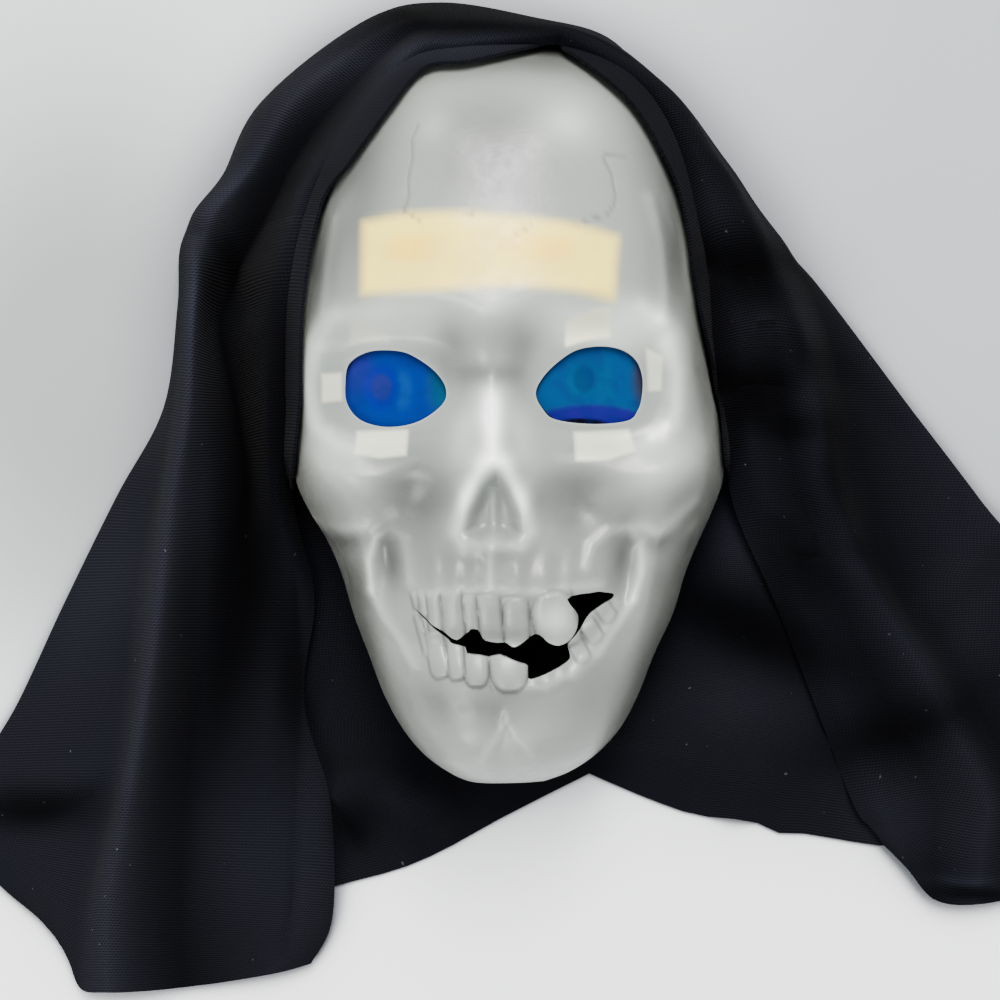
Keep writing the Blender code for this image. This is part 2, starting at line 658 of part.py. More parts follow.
def thick_sheet(name, rows, over_columns):
    """A closed body of the cloth's thickness about the rows of points, joined along the back."""
    columns = len(rows[0])
    bm = bmesh.new()
    made = []
    for row in rows:
        for j, point in enumerate(row):
            made.append(bm.verts.new(lift_off_skull(*point) if j <= over_columns else point))
    for i in range(len(rows) - 1):
        for j in range(columns - 1):
            a = i * columns + j
            bm.faces.new([made[a], made[a + 1], made[a + columns + 1], made[a + columns]])
    middle = len(rows) // 2
    joined = {}
    for i in range(middle):
        joined[made[i * columns + columns - 1]] = made[(len(rows) - 1 - i) * columns + columns - 1]
    bmesh.ops.weld_verts(bm, targetmap=joined)
    bm.normal_update()
    bm.verts.index_update()
    count = len(bm.verts)
    upper, lower = [], []
    for v in bm.verts:
        half = v.normal * (CLOTH / 2)
        a, b = v.co + half, v.co - half
        upper.append((a.x, a.y, max(0.0, a.z)))
        lower.append((b.x, b.y, max(0.0, b.z)))
    faces = []
    for f in bm.faces:
        corners = [v.index for v in f.verts]
        faces.append(tuple(corners))
        faces.append(tuple(c + count for c in corners[::-1]))
    for e in bm.edges:
        if len(e.link_loops) == 1:
            a = e.link_loops[0].vert.index
            b = e.link_loops[0].link_loop_next.vert.index
            faces.append((b, a, a + count, b + count))
    bm.free()
    return mesh_object(name, upper + lower, faces)


def build_hood():
    rows = build_hood_sheet(RIBS_BETWEEN, OVER_STEPS, UNDER_STEPS)
    return thick_sheet("hood", rows, OVER_STEPS)


# Plain colours: red, green, blue, roughness
COLOURS = {
    "mask_plastic": (0.74, 0.77, 0.74, 0.35),
    "hood_knit": (0.012, 0.013, 0.018, 0.95),
    "lens": (0.02, 0.16, 0.62, 0.15),
    "pad_foam": (0.86, 0.76, 0.5, 0.9),
    "tape": (0.86, 0.84, 0.74, 0.6),
}


def colour(made, name):
    """Gives the piece a plain material of its own."""
    red, green, blue, roughness = COLOURS[name]
    material = bpy.data.materials.new(name)
    material.use_nodes = True
    shader = material.node_tree.nodes["Principled BSDF"]
    shader.inputs["Base Color"].default_value = (red, green, blue, 1)
    shader.inputs["Roughness"].default_value = roughness
    shader.inputs["Metallic"].default_value = 0.0
    made.data.materials.clear()
    made.data.materials.append(material)


def main():
    for old in list(bpy.data.objects):
        bpy.data.objects.remove(old)
    colour(build_skull(), "mask_plastic")
    for side, cx, cy, _, _, _, _, _ in SOCKETS:
        colour(build_lens("eye_lens_" + side, side, cx, cy), "lens")
    for row in TABS:
        colour(build_tab(*row), "tape")
    colour(build_pad(), "pad_foam")
    colour(build_hood(), "hood_knit")


main()
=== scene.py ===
"""Looks of a skull mask with a knit hood that lies face up on a pale surface."""
import math

import bmesh
import bpy
import numpy as np
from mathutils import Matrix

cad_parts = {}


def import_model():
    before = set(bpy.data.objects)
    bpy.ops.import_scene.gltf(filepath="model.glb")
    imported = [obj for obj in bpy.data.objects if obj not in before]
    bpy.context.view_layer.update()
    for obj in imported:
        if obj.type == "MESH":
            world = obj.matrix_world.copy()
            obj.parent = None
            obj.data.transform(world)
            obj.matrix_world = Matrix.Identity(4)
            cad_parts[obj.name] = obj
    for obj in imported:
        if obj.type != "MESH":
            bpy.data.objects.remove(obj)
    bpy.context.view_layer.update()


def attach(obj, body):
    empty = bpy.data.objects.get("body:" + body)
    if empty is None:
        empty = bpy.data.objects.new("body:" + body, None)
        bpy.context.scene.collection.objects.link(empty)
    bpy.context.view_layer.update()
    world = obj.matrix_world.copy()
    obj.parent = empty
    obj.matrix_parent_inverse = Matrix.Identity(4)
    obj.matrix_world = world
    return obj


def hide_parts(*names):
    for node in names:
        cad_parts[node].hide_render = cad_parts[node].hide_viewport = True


MM = 0.001
# The tables are in millimetres, with x = 0 on the middle of the nose.
# This point of theirs is over the origin of the frame.
CENTRE_X = 20.975
CENTRE_Y = -1.191

# The camera looks straight down. Points per millimetre at one millimetre's distance.
EYE_HEIGHT = 600.0
EYE_X = 2.87
POINTS_PER_MM = 1635.0
SENSOR = 36.0
PHOTO_SIZE = 1000
PHOTO_MIDDLE = PHOTO_SIZE / 2

# The lights look at this place, in metres of the frame.
LIGHTS_AIM = (0, 0, 0.04)
# Half of the surface's side
FLOOR_HALF = 1500

# Shell mesh: steps down and across, closer together between two heights of the face.
WALL = 1.8
SHELL_ROWS = 300
SHELL_COLUMNS = 220
FACE_BOTTOM = -62.0
FACE_TOP = 62.0
FACE_DENSITY = 2.4
# Samples for the length down the shell and for its height at a place
LENGTH_SAMPLES = 4000
HEIGHT_SAMPLES = 2000
# Share of even steps across the shell; the others are closer together at its sides.
EVEN_SHARE = 0.6
# Points of the cut-outs' curves between two of their table's points, and the cutters' heights
EYE_STEPS = 6
MOUTH_STEPS = 2
CUT_LOW = 30
CUT_HIGH = 120

# Cloth mesh: ribs between stations, points over the folds and under them.
CLOTH = 1.2
CLOTH_CLEAR = 1.5
RIBS_BETWEEN = 9
OVER_STEPS = 120
UNDER_STEPS = 21
# Step of a rib on the top of its fold
FOLD_TOP = OVER_STEPS * 3 // 5
EDGE_TURN = 4.0
# Cloth above this height is kept clear of the shell, in so many rounds.
LIFT_FROM = 8.0
LIFT_ROUNDS = 4

# Rows of the shell from the top edge to the chin edge.
# y, half widths to the left and right, height on the midline, rim height, fullness
SKULL_ROWS = np.array([
    (157, 20, 30, 38, 36, 2.2),
    (154, 29, 40, 47, 33, 2.2),
    (147, 38, 50, 58, 29, 2.2),
    (136, 47, 58, 69, 24, 2.2),
    (120, 56, 65, 78, 20, 2.2),
    (100, 64.5, 70, 85, 16, 2.2),
    (79, 68.5, 73.5, 88, 13, 2.3),
    (61, 70, 75, 87.5, 11, 2.4),
    (43, 70.5, 77.5, 82, 8, 2.5),
    (29, 70.5, 80.8, 79, 5, 2.6),
    (16, 71.8, 82.8, 78, 3.5, 2.6),
    (6, 70, 82.5, 77, 3, 2.5),
    (-4, 65.5, 79, 76.5, 3, 2.4),
    (-14, 59.2, 74.4, 76.5, 3.5, 2.4),
    (-26, 53.8, 69.2, 77, 5, 2.4),
    (-40, 49.5, 64.8, 77.5, 6, 2.4),
    (-54, 44, 58, 76.5, 8, 2.4),
    (-68, 38.5, 52.3, 75, 9, 2.4),
    (-79, 32, 46, 72, 13, 2.4),
    (-87.4, 24.6, 38, 65, 17, 2.4),
    (-93.4, 16.5, 29.5, 54, 21, 2.3),
    (-97, 10.5, 22, 40, 25, 2.2),
    (-98.2, 7.5, 18.5, 31, 28, 2.2),
])

TOP_EDGE = SKULL_ROWS[0][0]
CHIN_EDGE = SKULL_ROWS[-1][0]
# The face's relief fades out towards the edges: in millimetres, and in shares of the half width.
TOP_FADE = 25.0
CHIN_FADE = 10.0
SIDE_FADE_FROM = 0.86
SIDE_FADE = 0.12
# Share of a row over which the slope of the crest is measured
SLOPE_STEP = 0.1

# Soft bumps and hollows: x, y, reach in x, reach in y, turn in degrees, height
BROAD_LUMPS = {
    "brow left": (-36, 57, 24, 7, 6, 4.5),
    "brow right": (38, 57, 25, 7, -8, 4.5),
    "brow middle": (0, 55, 14, 9, 0, 1.5),
    "frown notch": (0, 44, 7, 5, 0, -1.6),
    "outer rim left": (-62, 40, 7, 18, 0, 6.0),
    "outer rim right": (60, 42, 7, 18, 0, 6.0),
    "nose bone": (0.5, 22, 10, 19, 0, 6.5),
    "nose tip rim": (1.0, 9, 10, 7, 0, 2.6),
    "nose rim left": (-9, -2, 4, 9, 20, 3.0),
    "nose rim right": (11, -2, 4, 9, -20, 3.0),
    "nose foot": (1, -16, 9, 5, 0, 2.5),
    "cheek bone left": (-52, 8, 15, 10, -25, 8.0),
    "cheek bone right": (60, 8, 16, 10, 25, 8.0),
    "under eye left": (-30, 18, 16, 6, 8, 4.0),
    "under eye right": (34, 18, 17, 6, -8, 4.0),
    "cheek hollow left": (-24, 0, 9, 10, 15, -4.0),
    "cheek hollow right": (28, -1, 10, 10, -15, -4.0),
    "jaw hollow left": (-33, -22, 5, 13, 8, -5.0),
    "jaw hollow right": (44, -22, 5.5, 13, -8, -5.0),
    "jaw ridge left": (-41, -24, 4, 16, 10, 2.5),
    "jaw ridge right": (52, -24, 4.5, 16, -8, 2.5),
    "upper jaw": (2, -25, 26, 9, 0, 4.0),
    "lower jaw": (2, -60, 24, 8, 0, 2.0),
    "mouth line": (2, -46, 27, 4, 0, -3.5),
    "chin left": (-6, -80, 9, 9, 0, 2.5),
    "chin right": (12, -80, 9, 9, 0, 2.5),
    "chin cleft": (3, -78, 3, 9, 0, -1.5),
    "temple left": (-58, 78, 9, 20, 0, -5.0),
    "temple right": (62, 78, 9, 20, 0, -5.0),
}

# The same for the small forms that only the fine surface shows.
FINE_LUMPS = {
    "forehead boss right": (21, 119, 15, 12, 0, 1.2),
    "forehead boss left": (-15, 117, 11, 10, 0, 0.9),
    "root 1": (-18, -24, 2.2, 7, 4, 1.0),
    "root 2": (-11.5, -24, 2.4, 7, 2, 1.2),
    "root 3": (-5, -24, 2.2, 7, 0, 0.9),
    "root 4": (8.5, -24, 2.6, 7, 0, 1.2),
    "root 5": (17, -25, 3.0, 7, -4, 1.3),
    "root 6": (25, -24, 2.6, 6, -8, 0.9),
    "gum bump 1": (14, -59, 2.2, 2.2, 0, 0.9),
    "gum bump 2": (18.5, -58, 2.2, 2.2, 0, 0.9),
    "gum bump 3": (22.8, -56, 2.0, 2.2, 0, 0.8),
}

# Thin ridges, or grooves where the height is negative: width, height, line through points
RIDGES = {
    "nose edge left": (3.0, 1.8, [(-1.6, 11), (-5.6, 5), (-9, -3), (-11, -10), (-9, -14.6),
                                  (0.6, -14.6)]),
    "nose edge right": (3.0, 1.8, [(4.2, 11), (7.6, 4), (10.6, -4), (12.4, -10.4), (9.8, -14.6),
                                   (0.6, -14.6)]),
    "bridge": (4.6, 1.2, [(0.0, 33), (0.2, 24), (0.8, 13)]),
    "philtrum": (1.6, 0.9, [(0, -14), (-0.2, -22), (-0.2, -28)]),
    "rim left": (4.0, 1.2, [(-52, 60), (-60, 52), (-63, 40), (-61, 28), (-54, 19), (-44, 15)]),
    "rim right": (4.0, 1.2, [(50, 62), (58, 53), (61, 42), (61, 30), (57, 21), (48, 16)]),
    "temple line right": (2.6, 1.4, [(52, 98), (56, 84), (57, 70), (56, 58)]),
    "temple line left": (2.4, 1.0, [(-52, 92), (-55, 78), (-56, 62)]),
    "cheek edge left": (3.4, -1.2, [(-60, -12), (-50, -14.2), (-42, -13.4)]),
    "cheek lip left": (2.8, 1.0, [(-62, -7), (-51, -10), (-42, -9.6)]),
    "cheek edge right": (3.4, -1.2, [(70, -6), (63, -12), (56, -15), (50, -13)]),
    "cheek lip right": (2.8, 1.0, [(69, -1), (62, -7.6), (55, -11.4), (48, -9.6)]),
    "jaw arch left": (2.2, 1.3, [(-40, -30), (-40.4, -20), (-38, -12.6), (-33, -10), (-28.6, -12.6),
                                 (-27.6, -20), (-27, -27)]),
    "jaw line left": (2.2, 1.1, [(-40, -30), (-36, -38), (-30, -46), (-25.5, -54)]),
    "jaw arch right": (2.2, 1.3, [(31, -22), (33, -15), (39, -10.4), (45, -9.8), (49, -14), (49, -24),
                                  (46.6, -33)]),
    "jaw line right": (2.2, 1.1, [(46.6, -33), (41.6, -41), (35, -50), (27, -57)]),
    "gum upper": (1.8, 0.9, [(-25, -31), (-16, -29.5), (-6, -29), (6, -29.5), (16, -30), (26, -28.5),
                             (36, -28)]),
    "gum lower": (1.8, 1.0, [(10, -60), (18, -60.5), (26, -56), (32, -49), (38, -41), (41, -34)]),
    "chin mark left": (1.3, 0.7, [(5, -70), (2, -77), (-3, -84)]),
    "chin mark right": (1.3, 0.7, [(5, -70), (8.5, -77), (13, -82)]),
    "crack left": (0.45, -0.35, [(-23.5, 120.5), (-25.4, 115.6), (-25, 109.5), (-26.4, 101.8),
                                 (-26, 95.6), (-28, 91.7), (-24.6, 89.5), (-21.6, 87.2)]),
    "crack right": (0.5, -0.4, [(43.6, 111), (36.9, 111.2), (36.2, 109.6), (38.8, 104.7), (39.2, 100.8),
                                (40, 97.9), (39.2, 93.8), (37, 90.9), (31.8, 89), (27.7, 87),
                                (24.2, 87.3)]),
    "crack middle": (0.45, -0.3, [(13, 86.2), (10.5, 84.6), (7.8, 83.4)]),
    "crack small": (0.45, -0.25, [(-8.8, 89.2), (-5.8, 89.6)]),
}

# Flat floors of the eye sockets: x, y, reach in x, reach in y, height, slope along x, slope along y
SOCKETS = {
    "left": (-31.5, 36.5, 22, 16.5, 68.5, 0.24, 0.08),
    "right": (33.5, 37.5, 23, 16.5, 69.0, -0.20, 0.08),
}

# How square the socket is, where its floor ends and how wide its soft slope is, as shares of the reach
SOCKET_FULL = 2.6
SOCKET_FLAT = 0.92
SOCKET_BLEND = 0.95

EYE_HOLES = {
    "left": [(-47.8, 38), (-46.4, 44.6), (-39.6, 48.4), (-29.9, 48.3), (-23.8, 45.8), (-17.6, 41),
             (-14.5, 35.6), (-16, 30.6), (-24, 25.3), (-34.1, 23.8), (-42.7, 26.1), (-47.2, 31.4)],
    "right": [(14.4, 34.3), (16.3, 39), (20.9, 44), (27.6, 48.5), (35.7, 49.9), (42.7, 48.8), (47.4, 45.4),
              (49.4, 40), (49.3, 34), (48, 29.4), (44.6, 25.9), (33.4, 24.7), (20.9, 26), (16.5, 29.6)],
}

MOUTH = [(-25.1, -34.8), (-22.2, -36.8), (-19.3, -39.7), (-16.4, -41.5), (-14.4, -42.8), (-12.9, -44.1),
         (-10.9, -44.9), (-8.9, -43.5), (-7.1, -42.1), (-6.3, -41.2), (-4.2, -41.5), (-3.1, -43.5),
         (-1.9, -45), (2.2, -45.8), (4.5, -45.7), (6.2, -46.7), (7.7, -47.1), (9.7, -46.1),
         (11.5, -44.7), (13.2, -43.5), (14.7, -42.9), (16.4, -43.8), (17.9, -45.3), (19.9, -46.3),
         (21.9, -46.6), (24, -45.8), (25.7, -44.4), (27.2, -42.1), (28, -39.7), (28, -37.4),
         (27.2, -35.7), (24.3, -31.7), (28.3, -30.3), (31.8, -30), (34.7, -29.6), (36.5, -29.9),
         (39.4, -30.4), (40.1, -31), (39.4, -32.2), (37, -33.4), (34.1, -35.1), (31.8, -36.8),
         (30.1, -39.2), (28.9, -41.5), (26.9, -43.8), (24.8, -46.1), (25.1, -48.5), (25.5, -51.1),
         (23.1, -53.1), (20.8, -54.4), (17.3, -56), (13.8, -57.2), (11.9, -57), (11.8, -53.1),
         (9.7, -52.2), (6.8, -51.1), (2.8, -49.5), (-0.7, -50.2), (-3.6, -49.6), (-7.7, -49.2),
         (-8.3, -47.3), (-12.6, -46.1), (-13.8, -44.7), (-15.8, -43.2), (-18.7, -40.9), (-21.6, -38)]

NOSE_HOLE = [(1.9, 8.5), (-2.5, 3.5), (-6.5, -4.5), (-7.8, -10), (-4, -12), (0.6, -10.5), (5, -12.3),
             (9.2, -10.6), (9, -5.5), (5.8, 2.8)]
NOSE_DEPTH = 4.6
# The recess starts so far outside its outline and is so wide down to its floor.
NOSE_LIP = 1.6
NOSE_SLOPE = 5.0
# The thin wall on the floor of the recess
SEPTUM_X = 0.8
SEPTUM_TOP = 4.0
SEPTUM_HEIGHT = 1.5
SEPTUM_WIDTH = 1.6

# Teeth: x and y of the root's end, x and y of the biting end, width, how far they stand out,
# and how much the root's end stands out from the gum, from 0 to 1
TEETH = [
    (-25.2, -28.5, -24.0, -34.5, 2.4, 0.8, 0.2),
    (-22.6, -28.5, -21.4, -37.5, 3.0, 1.1, 0.2),
    (-18.9, -28.5, -17.6, -42.5, 4.8, 1.6, 0.3),
    (-13.0, -28.5, -11.4, -46.0, 7.2, 2.0, 0.3),
    (-7.2, -30.0, -5.8, -43.0, 4.8, 1.5, 0.4),
    (-1.2, -29.8, 0.6, -47.0, 7.6, 2.0, 0.4),
    (7.6, -30.8, 8.6, -48.5, 8.4, 2.2, 0.5),
    (18.2, -29.0, 22.6, -47.5, 14.4, 4.2, 0.9),
    (-20.4, -51.0, -23.6, -38.0, 2.6, 0.7, 0.5),
    (-16.0, -57.8, -18.8, -42.0, 6.4, 1.5, 1.0),
    (-10.8, -58.2, -12.0, -43.0, 5.6, 1.6, 1.0),
    (-4.6, -60.2, -4.8, -45.0, 7.8, 2.0, 1.0),
    (6.4, -61.6, 5.0, -46.0, 12.2, 2.6, 1.0),
    (30.6, -52.6, 26.6, -44.5, 5.2, 1.2, 0.6),
    (35.0, -46.4, 31.0, -40.0, 5.6, 1.2, 0.6),
    (39.6, -39.6, 35.4, -33.6, 5.4, 1.1, 0.6),
]
# Lengths over which a flat root, a root that stands out and the biting end rise from the gum
ROOT_FADE = 4.5
ROUND_ROOT_FADE = 1.4
BITE_FADE = 2.4
# Section of a tooth: how square its sides are, and how flat its front
TOOTH_SQUARE = 2.6
TOOTH_CROWN = 0.55

# The hood's ribs as points of the photo, each with a height in millimetres, from the
# edge at the face over the folds to the outer edge. The last point is on the back.
# Columns: front edge, roll, valley, fold top, fold foot, outer edge
HOOD_TOP = [(549, 44, 56), (546, 35, 61), (544, 29, 60), (541, 24, 55), (540, 21, 44), (540, 20, 26)]
HOOD_LEFT = [
    [(470, 61, 54), (460, 42, 61), (452, 30, 58), (448, 20, 54), (445, 12, 44), (441, 4, 24)],
    [(424, 68, 52), (412, 50, 59), (402, 40, 52), (392, 28, 50), (376, 18, 36), (366, 22, 12)],
    [(389, 109, 48), (360, 110, 55), (330, 112, 40), (298, 96, 40), (276, 92, 28), (262, 103, 6)],
    [(351, 161, 46), (322, 162, 52), (292, 168, 26), (250, 168, 34), (228, 172, 28), (222, 180, 6)],
    [(321, 206, 42), (299, 206, 48), (268, 216, 16), (206, 226, 36), (189, 226, 30), (184, 238, 8)],
    [(303, 303, 30), (275, 303, 38), (222, 315, 12), (194, 300, 36), (183, 302, 22), (179, 306, 6)],
    [(300, 399, 22), (271, 399, 32), (236, 410, 8), (188, 410, 37), (172, 408, 20), (165, 408, 5)],
    [(293, 500, 6), (276, 500, 17), (242, 497, 5), (172, 500, 35), (155, 500, 14), (118, 497, 3)],
    [(314, 600, 5), (290, 600, 8), (215, 600, 5), (160, 600, 33), (134, 600, 13), (66, 603, 3)],
    [(303, 700, 6), (275, 702, 8), (197, 700, 5), (145, 700, 29), (121, 698, 10), (20, 702, 3)],
    [(330, 800, 6), (300, 800, 7), (184, 800, 5), (127, 800, 23), (101, 800, 8), (-32, 800, 3)],
    [(333, 914, 5), (302, 912, 6), (180, 905, 5), (108, 900, 15), (77, 900, 6), (-10, 872, 3)],
    [(311, 963, 4), (270, 974, 5), (185, 987, 4), (108, 992, 9), (79, 985, 4), (69, 938, 3)],
]
HOOD_RIGHT = [
    [(565, 50, 54), (566, 36, 60), (572, 32, 58), (582, 32, 54), (594, 34, 42), (602, 36, 22)],
    [(596, 71, 51), (604, 54, 57), (616, 52, 54), (626, 54, 50), (636, 62, 34), (641, 70, 8)],
    [(633, 105, 46), (656, 92, 53), (672, 94, 50), (684, 106, 42), (691, 116, 28), (697, 128, 5)],
    [(662, 152, 42), (690, 140, 49), (708, 148, 46), (718, 158, 36), (727, 166, 22), (733, 172, 5)],
    [(683, 206, 38), (708, 190, 45), (734, 192, 42), (750, 208, 32), (762, 220, 18), (768, 226, 5)],
    [(699, 303, 30), (730, 290, 39), (765, 285, 37), (788, 290, 33), (808, 290, 14), (826, 298, 5)],
    [(720, 400, 20), (747, 396, 29), (780, 396, 26), (816, 400, 25), (848, 402, 9), (904, 402, 4)],
    [(733, 500, 9), (762, 496, 18), (800, 498, 14), (835, 502, 20), (872, 500, 7), (980, 502, 4)],
    [(775, 600, 5), (800, 598, 12), (838, 600, 10), (880, 600, 16), (918, 600, 6), (1050, 600, 4)],
    [(814, 700, 4), (840, 698, 9), (885, 700, 8), (938, 700, 13), (975, 700, 6), (1102, 690, 4)],
    [(853, 803, 4), (880, 798, 7), (930, 790, 8), (985, 795, 10), (1020, 790, 6), (1130, 785, 4)],
    [(870, 826, 4), (893, 830, 6), (934, 838, 7), (982, 846, 9), (1025, 838, 6), (1130, 815, 4)],
    [(886, 846, 4), (908, 869, 5), (934, 899, 6), (975, 904, 6), (1030, 890, 5), (1122, 838, 4)],
]
# Middle line of the back, a point for the top rib and one for each pair below it.
HOOD_BACK = [(540, 60), (538, 70), (535, 90), (532, 130), (530, 180), (530, 230), (530, 310), (535, 400),
             (540, 490), (550, 570), (565, 650), (577, 710), (585, 750), (589, 773)]
BACK_EDGE_LEFT = [(332, 886), (383, 873), (415, 863), (446, 848), (500, 818), (541, 797), (589, 773)]
BACK_EDGE_RIGHT = [(887, 846), (851, 841), (806, 833), (768, 832), (752, 818), (723, 816), (698, 816),
                   (666, 805), (628, 790), (589, 773)]

# Light on the cloth in stops at the knots of a rib: front edge, roll, valley, fold top,
# fold foot, outer edge, and on the back
FOLD_STOPS_LEFT = (0.2, 0.6, -1.0, 1.4, 0.6, 0.7, 0.0)
FOLD_STOPS_RIGHT = (-0.2, 0.0, -0.7, 0.6, -0.8, 0.5, 0.0)
# The left side's light turns into the right side's from this photo x on, over so many points.
SIDES_MEET = 480
SIDES_BLEND = 120

# Lighter and darker places of the cloth, painted light and painted shade: photo x and y, reach along and
# across, turn, stops
CLOTH_PATCHES = {
    "shadow band beside the jaw": (750, 628, 80, 28, 24, -3.0),
    "back right above the band": (735, 540, 26, 44, -30, 1.1),
    "back right below the band": (735, 700, 70, 44, 0, 0.7),
    "right strip dark": (748, 270, 46, 34, 0, -2.4),
    "right strip notch": (754, 392, 34, 26, 0, -2.8),
    "right strip low": (790, 428, 30, 18, 0, -1.4),
    "right foot bend": (832, 480, 10, 34, -14, -1.2),
    "right strip middle": (795, 560, 28, 46, -20, -1.4),
    "right foot upper": (800, 340, 10, 40, -20, -1.2),
    "right foot middle": (836, 440, 12, 60, -10, -1.6),
    "right foot lower": (872, 560, 14, 60, -28, -1.2),
    "right low crease": (896, 730, 70, 26, -14, -1.8),
    "right outside light": (955, 560, 40, 90, -28, 0.5),
    "left valley": (252, 460, 26, 210, 0, -2.6),
    "left valley lower": (226, 660, 22, 120, 12, -1.2),
    "left middle sheet": (236, 860, 56, 110, 0, 0.9),
    "left crest column": (204, 560, 12, 220, 0, 0.5),
    "left outside": (100, 600, 40, 90, 24, 0.4),
    "left top cloth": (240, 200, 24, 44, 30, 1.0),
    "roll over the brow": (380, 60, 60, 18, -38, 0.9),
    "left front roll": (282, 400, 12, 120, 0, -1.0),
    "left edge band": (290, 670, 18, 100, 0, -1.9),
    "roll over the crown": (470, 46, 90, 14, -8, 0.8),
    "top of the fold": (392, 24, 60, 14, -26, -1.8),
    "pocket": (354, 824, 18, 22, 0, -2.4),
    "right fold light": (770, 330, 26, 20, 10, 0.8),
    "right ridge light": (812, 545, 26, 12, 20, 1.0),
    "right lower sheet": (910, 820, 60, 50, 0, 0.9),
    "right outer light": (960, 640, 40, 60, -30, 0.6),
    "rolled hem": (975, 893, 30, 6, 4, -2.5),
    "edge above the hem": (960, 880, 40, 5, 4, 0.9),
    "left crest light": (192, 300, 9, 60, 0, 0.5),
    "left crest lower": (150, 760, 14, 130, 10, 0.3),
    "hump": (400, 800, 50, 18, 20, 0.3),
    "back left below": (430, 850, 70, 14, -14, 0.1),
    "left corner": (30, 808, 60, 20, 0, -2.2),
    "top edge": (450, 14, 120, 14, 4, -4.0),
    "top left fold": (300, 130, 30, 50, 30, -0.3),
    "strip by the temple left": (280, 330, 18, 90, 0, -0.4),
    "under the left knot": (222, 275, 16, 30, -20, -1.3),
}

# Creases of the cloth: width in photo points, height in millimetres, line through photo points
OVER_CREASES = {
    "right ridge 1": (22, 3.0, [(716, 222), (752, 228), (778, 236)]),
    "right ridge 2": (18, 3.0, [(738, 322), (776, 318), (800, 330)]),
    "right ridge 6": (26, 3.0, [(840, 640), (880, 650), (920, 670)]),
    "right fold 1": (13, -4.5, [(700, 262), (740, 272), (788, 268)]),
    "right fold 2": (13, -5.0, [(720, 388), (760, 380), (800, 390)]),
    "right fold 3": (11, -3.5, [(758, 430), (800, 436), (822, 432)]),
    "right ridge 3": (12, 3.0, [(760, 322), (790, 330), (804, 350)]),
    "right ridge 4": (11, 4.5, [(778, 512), (812, 536), (838, 548)]),
    "right fold 5": (12, -5.0, [(800, 560), (830, 548), (858, 560)]),
    "right fold 6": (14, -5.0, [(846, 770), (880, 738), (950, 726)]),
    "right outside 1": (14, -3.0, [(812, 372), (850, 380), (900, 430)]),
    "right outside 2": (18, 4.0, [(930, 610), (970, 560), (1000, 530)]),
    "right outside 3": (13, -4.0, [(960, 710), (985, 694), (1010, 690)]),
    "left hem": (5, -2.0, [(296, 590), (302, 660), (300, 740), (296, 830), (292, 900), (288, 950)]),
    "left knot": (12, -5.0, [(196, 232), (220, 252), (248, 310)]),
    "left outer 1": (14, 4.0, [(10, 796), (50, 790), (95, 775)]),
    "left outer 2": (13, -4.0, [(0, 812), (40, 820), (90, 800)]),
    "left column low": (18, -2.0, [(190, 870), (184, 920), (186, 960)]),
}
BACK_CREASES = {
    "hump": (13, 6.0, [(338, 792), (370, 784), (410, 796), (438, 822)]),
    "pocket": (13, -2.0, [(344, 806), (352, 826), (346, 846)]),
    "back fold right 1": (11, 3.5, [(640, 740), (690, 760), (740, 790)]),
    "back fold right 2": (12, 3.5, [(735, 812), (760, 780), (830, 742)]),
    "back fold right 3": (13, 2.5, [(700, 590), (740, 600), (800, 640)]),
    "back fold left": (11, 2.5, [(380, 770), (410, 790), (470, 800)]),
}
# Height over which a crease in the folds comes to its full height
CREASE_ROOM = 4.0


def smooth_step(t):
    t = np.clip(t, 0.0, 1.0)
    return t * t * (3 - 2 * t)


def catmull(p0, p1, p2, p3, t):
    """A smooth value between p1 and p2."""
    b = p2 - p0
    c = 2 * p0 - 5 * p1 + 4 * p2 - p3
    d = 3 * p1 - p0 - 3 * p2 + p3
    return 0.5 * (2 * p1 + b * t + c * t * t + d * t * t * t)


def rows_at(rows, places):
    """Rows of the table at places between 0 and the last row, each column smoothed."""
    last = len(rows) - 1
    i = np.clip(places.astype(int), 0, last - 1)
    t = (places - i).reshape(places.shape + (1,) * (rows.ndim - 1))
    return catmull(rows[np.maximum(i - 1, 0)], rows[i], rows[i + 1], rows[np.minimum(i + 2, last)], t)


def inside_distance(outline, x, y):
    """Distance from a closed outline, positive inside it."""
    inside = np.zeros(x.shape, bool)
    nearest = np.full(x.shape, 1e9)
    for (ax, ay), (bx, by) in zip(outline, outline[1:] + outline[:1]):
        if ay != by:
            inside ^= ((ay > y) != (by > y)) & (x < ax + (y - ay) * (bx - ax) / (by - ay))
        nearest = np.minimum(nearest, segment_distance(x, y, (ax, ay), (bx, by)))
    return np.where(inside, nearest, -nearest)


def segment_distance(x, y, a, b):
    dx, dy = b[0] - a[0], b[1] - a[1]
    t = np.clip(((x - a[0]) * dx + (y - a[1]) * dy) / (dx * dx + dy * dy), 0, 1)
    return np.hypot(x - a[0] - t * dx, y - a[1] - t * dy)


def line_distance(x, y, points):
    nearest = np.full(np.shape(x), 1e9)
    for a, b in zip(points, points[1:]):
        nearest = np.minimum(nearest, segment_distance(x, y, a, b))
    return nearest


def bell(square):
    """1 in the middle of a soft form, falling to 0 as the square of the distance grows."""
    return np.exp(-np.minimum(square, 50))


def lump_height(x, y, table):
    """The soft bumps and hollows of a table together."""
    total = np.zeros(x.shape)
    for cx, cy, rx, ry, turn, height in table.values():
        angle = math.radians(turn)
        dx, dy = x - cx, y - cy
        u = (dx * math.cos(angle) + dy * math.sin(angle)) / rx
        v = (dy * math.cos(angle) - dx * math.sin(angle)) / ry
        total += height * bell(u * u + v * v)
    return total


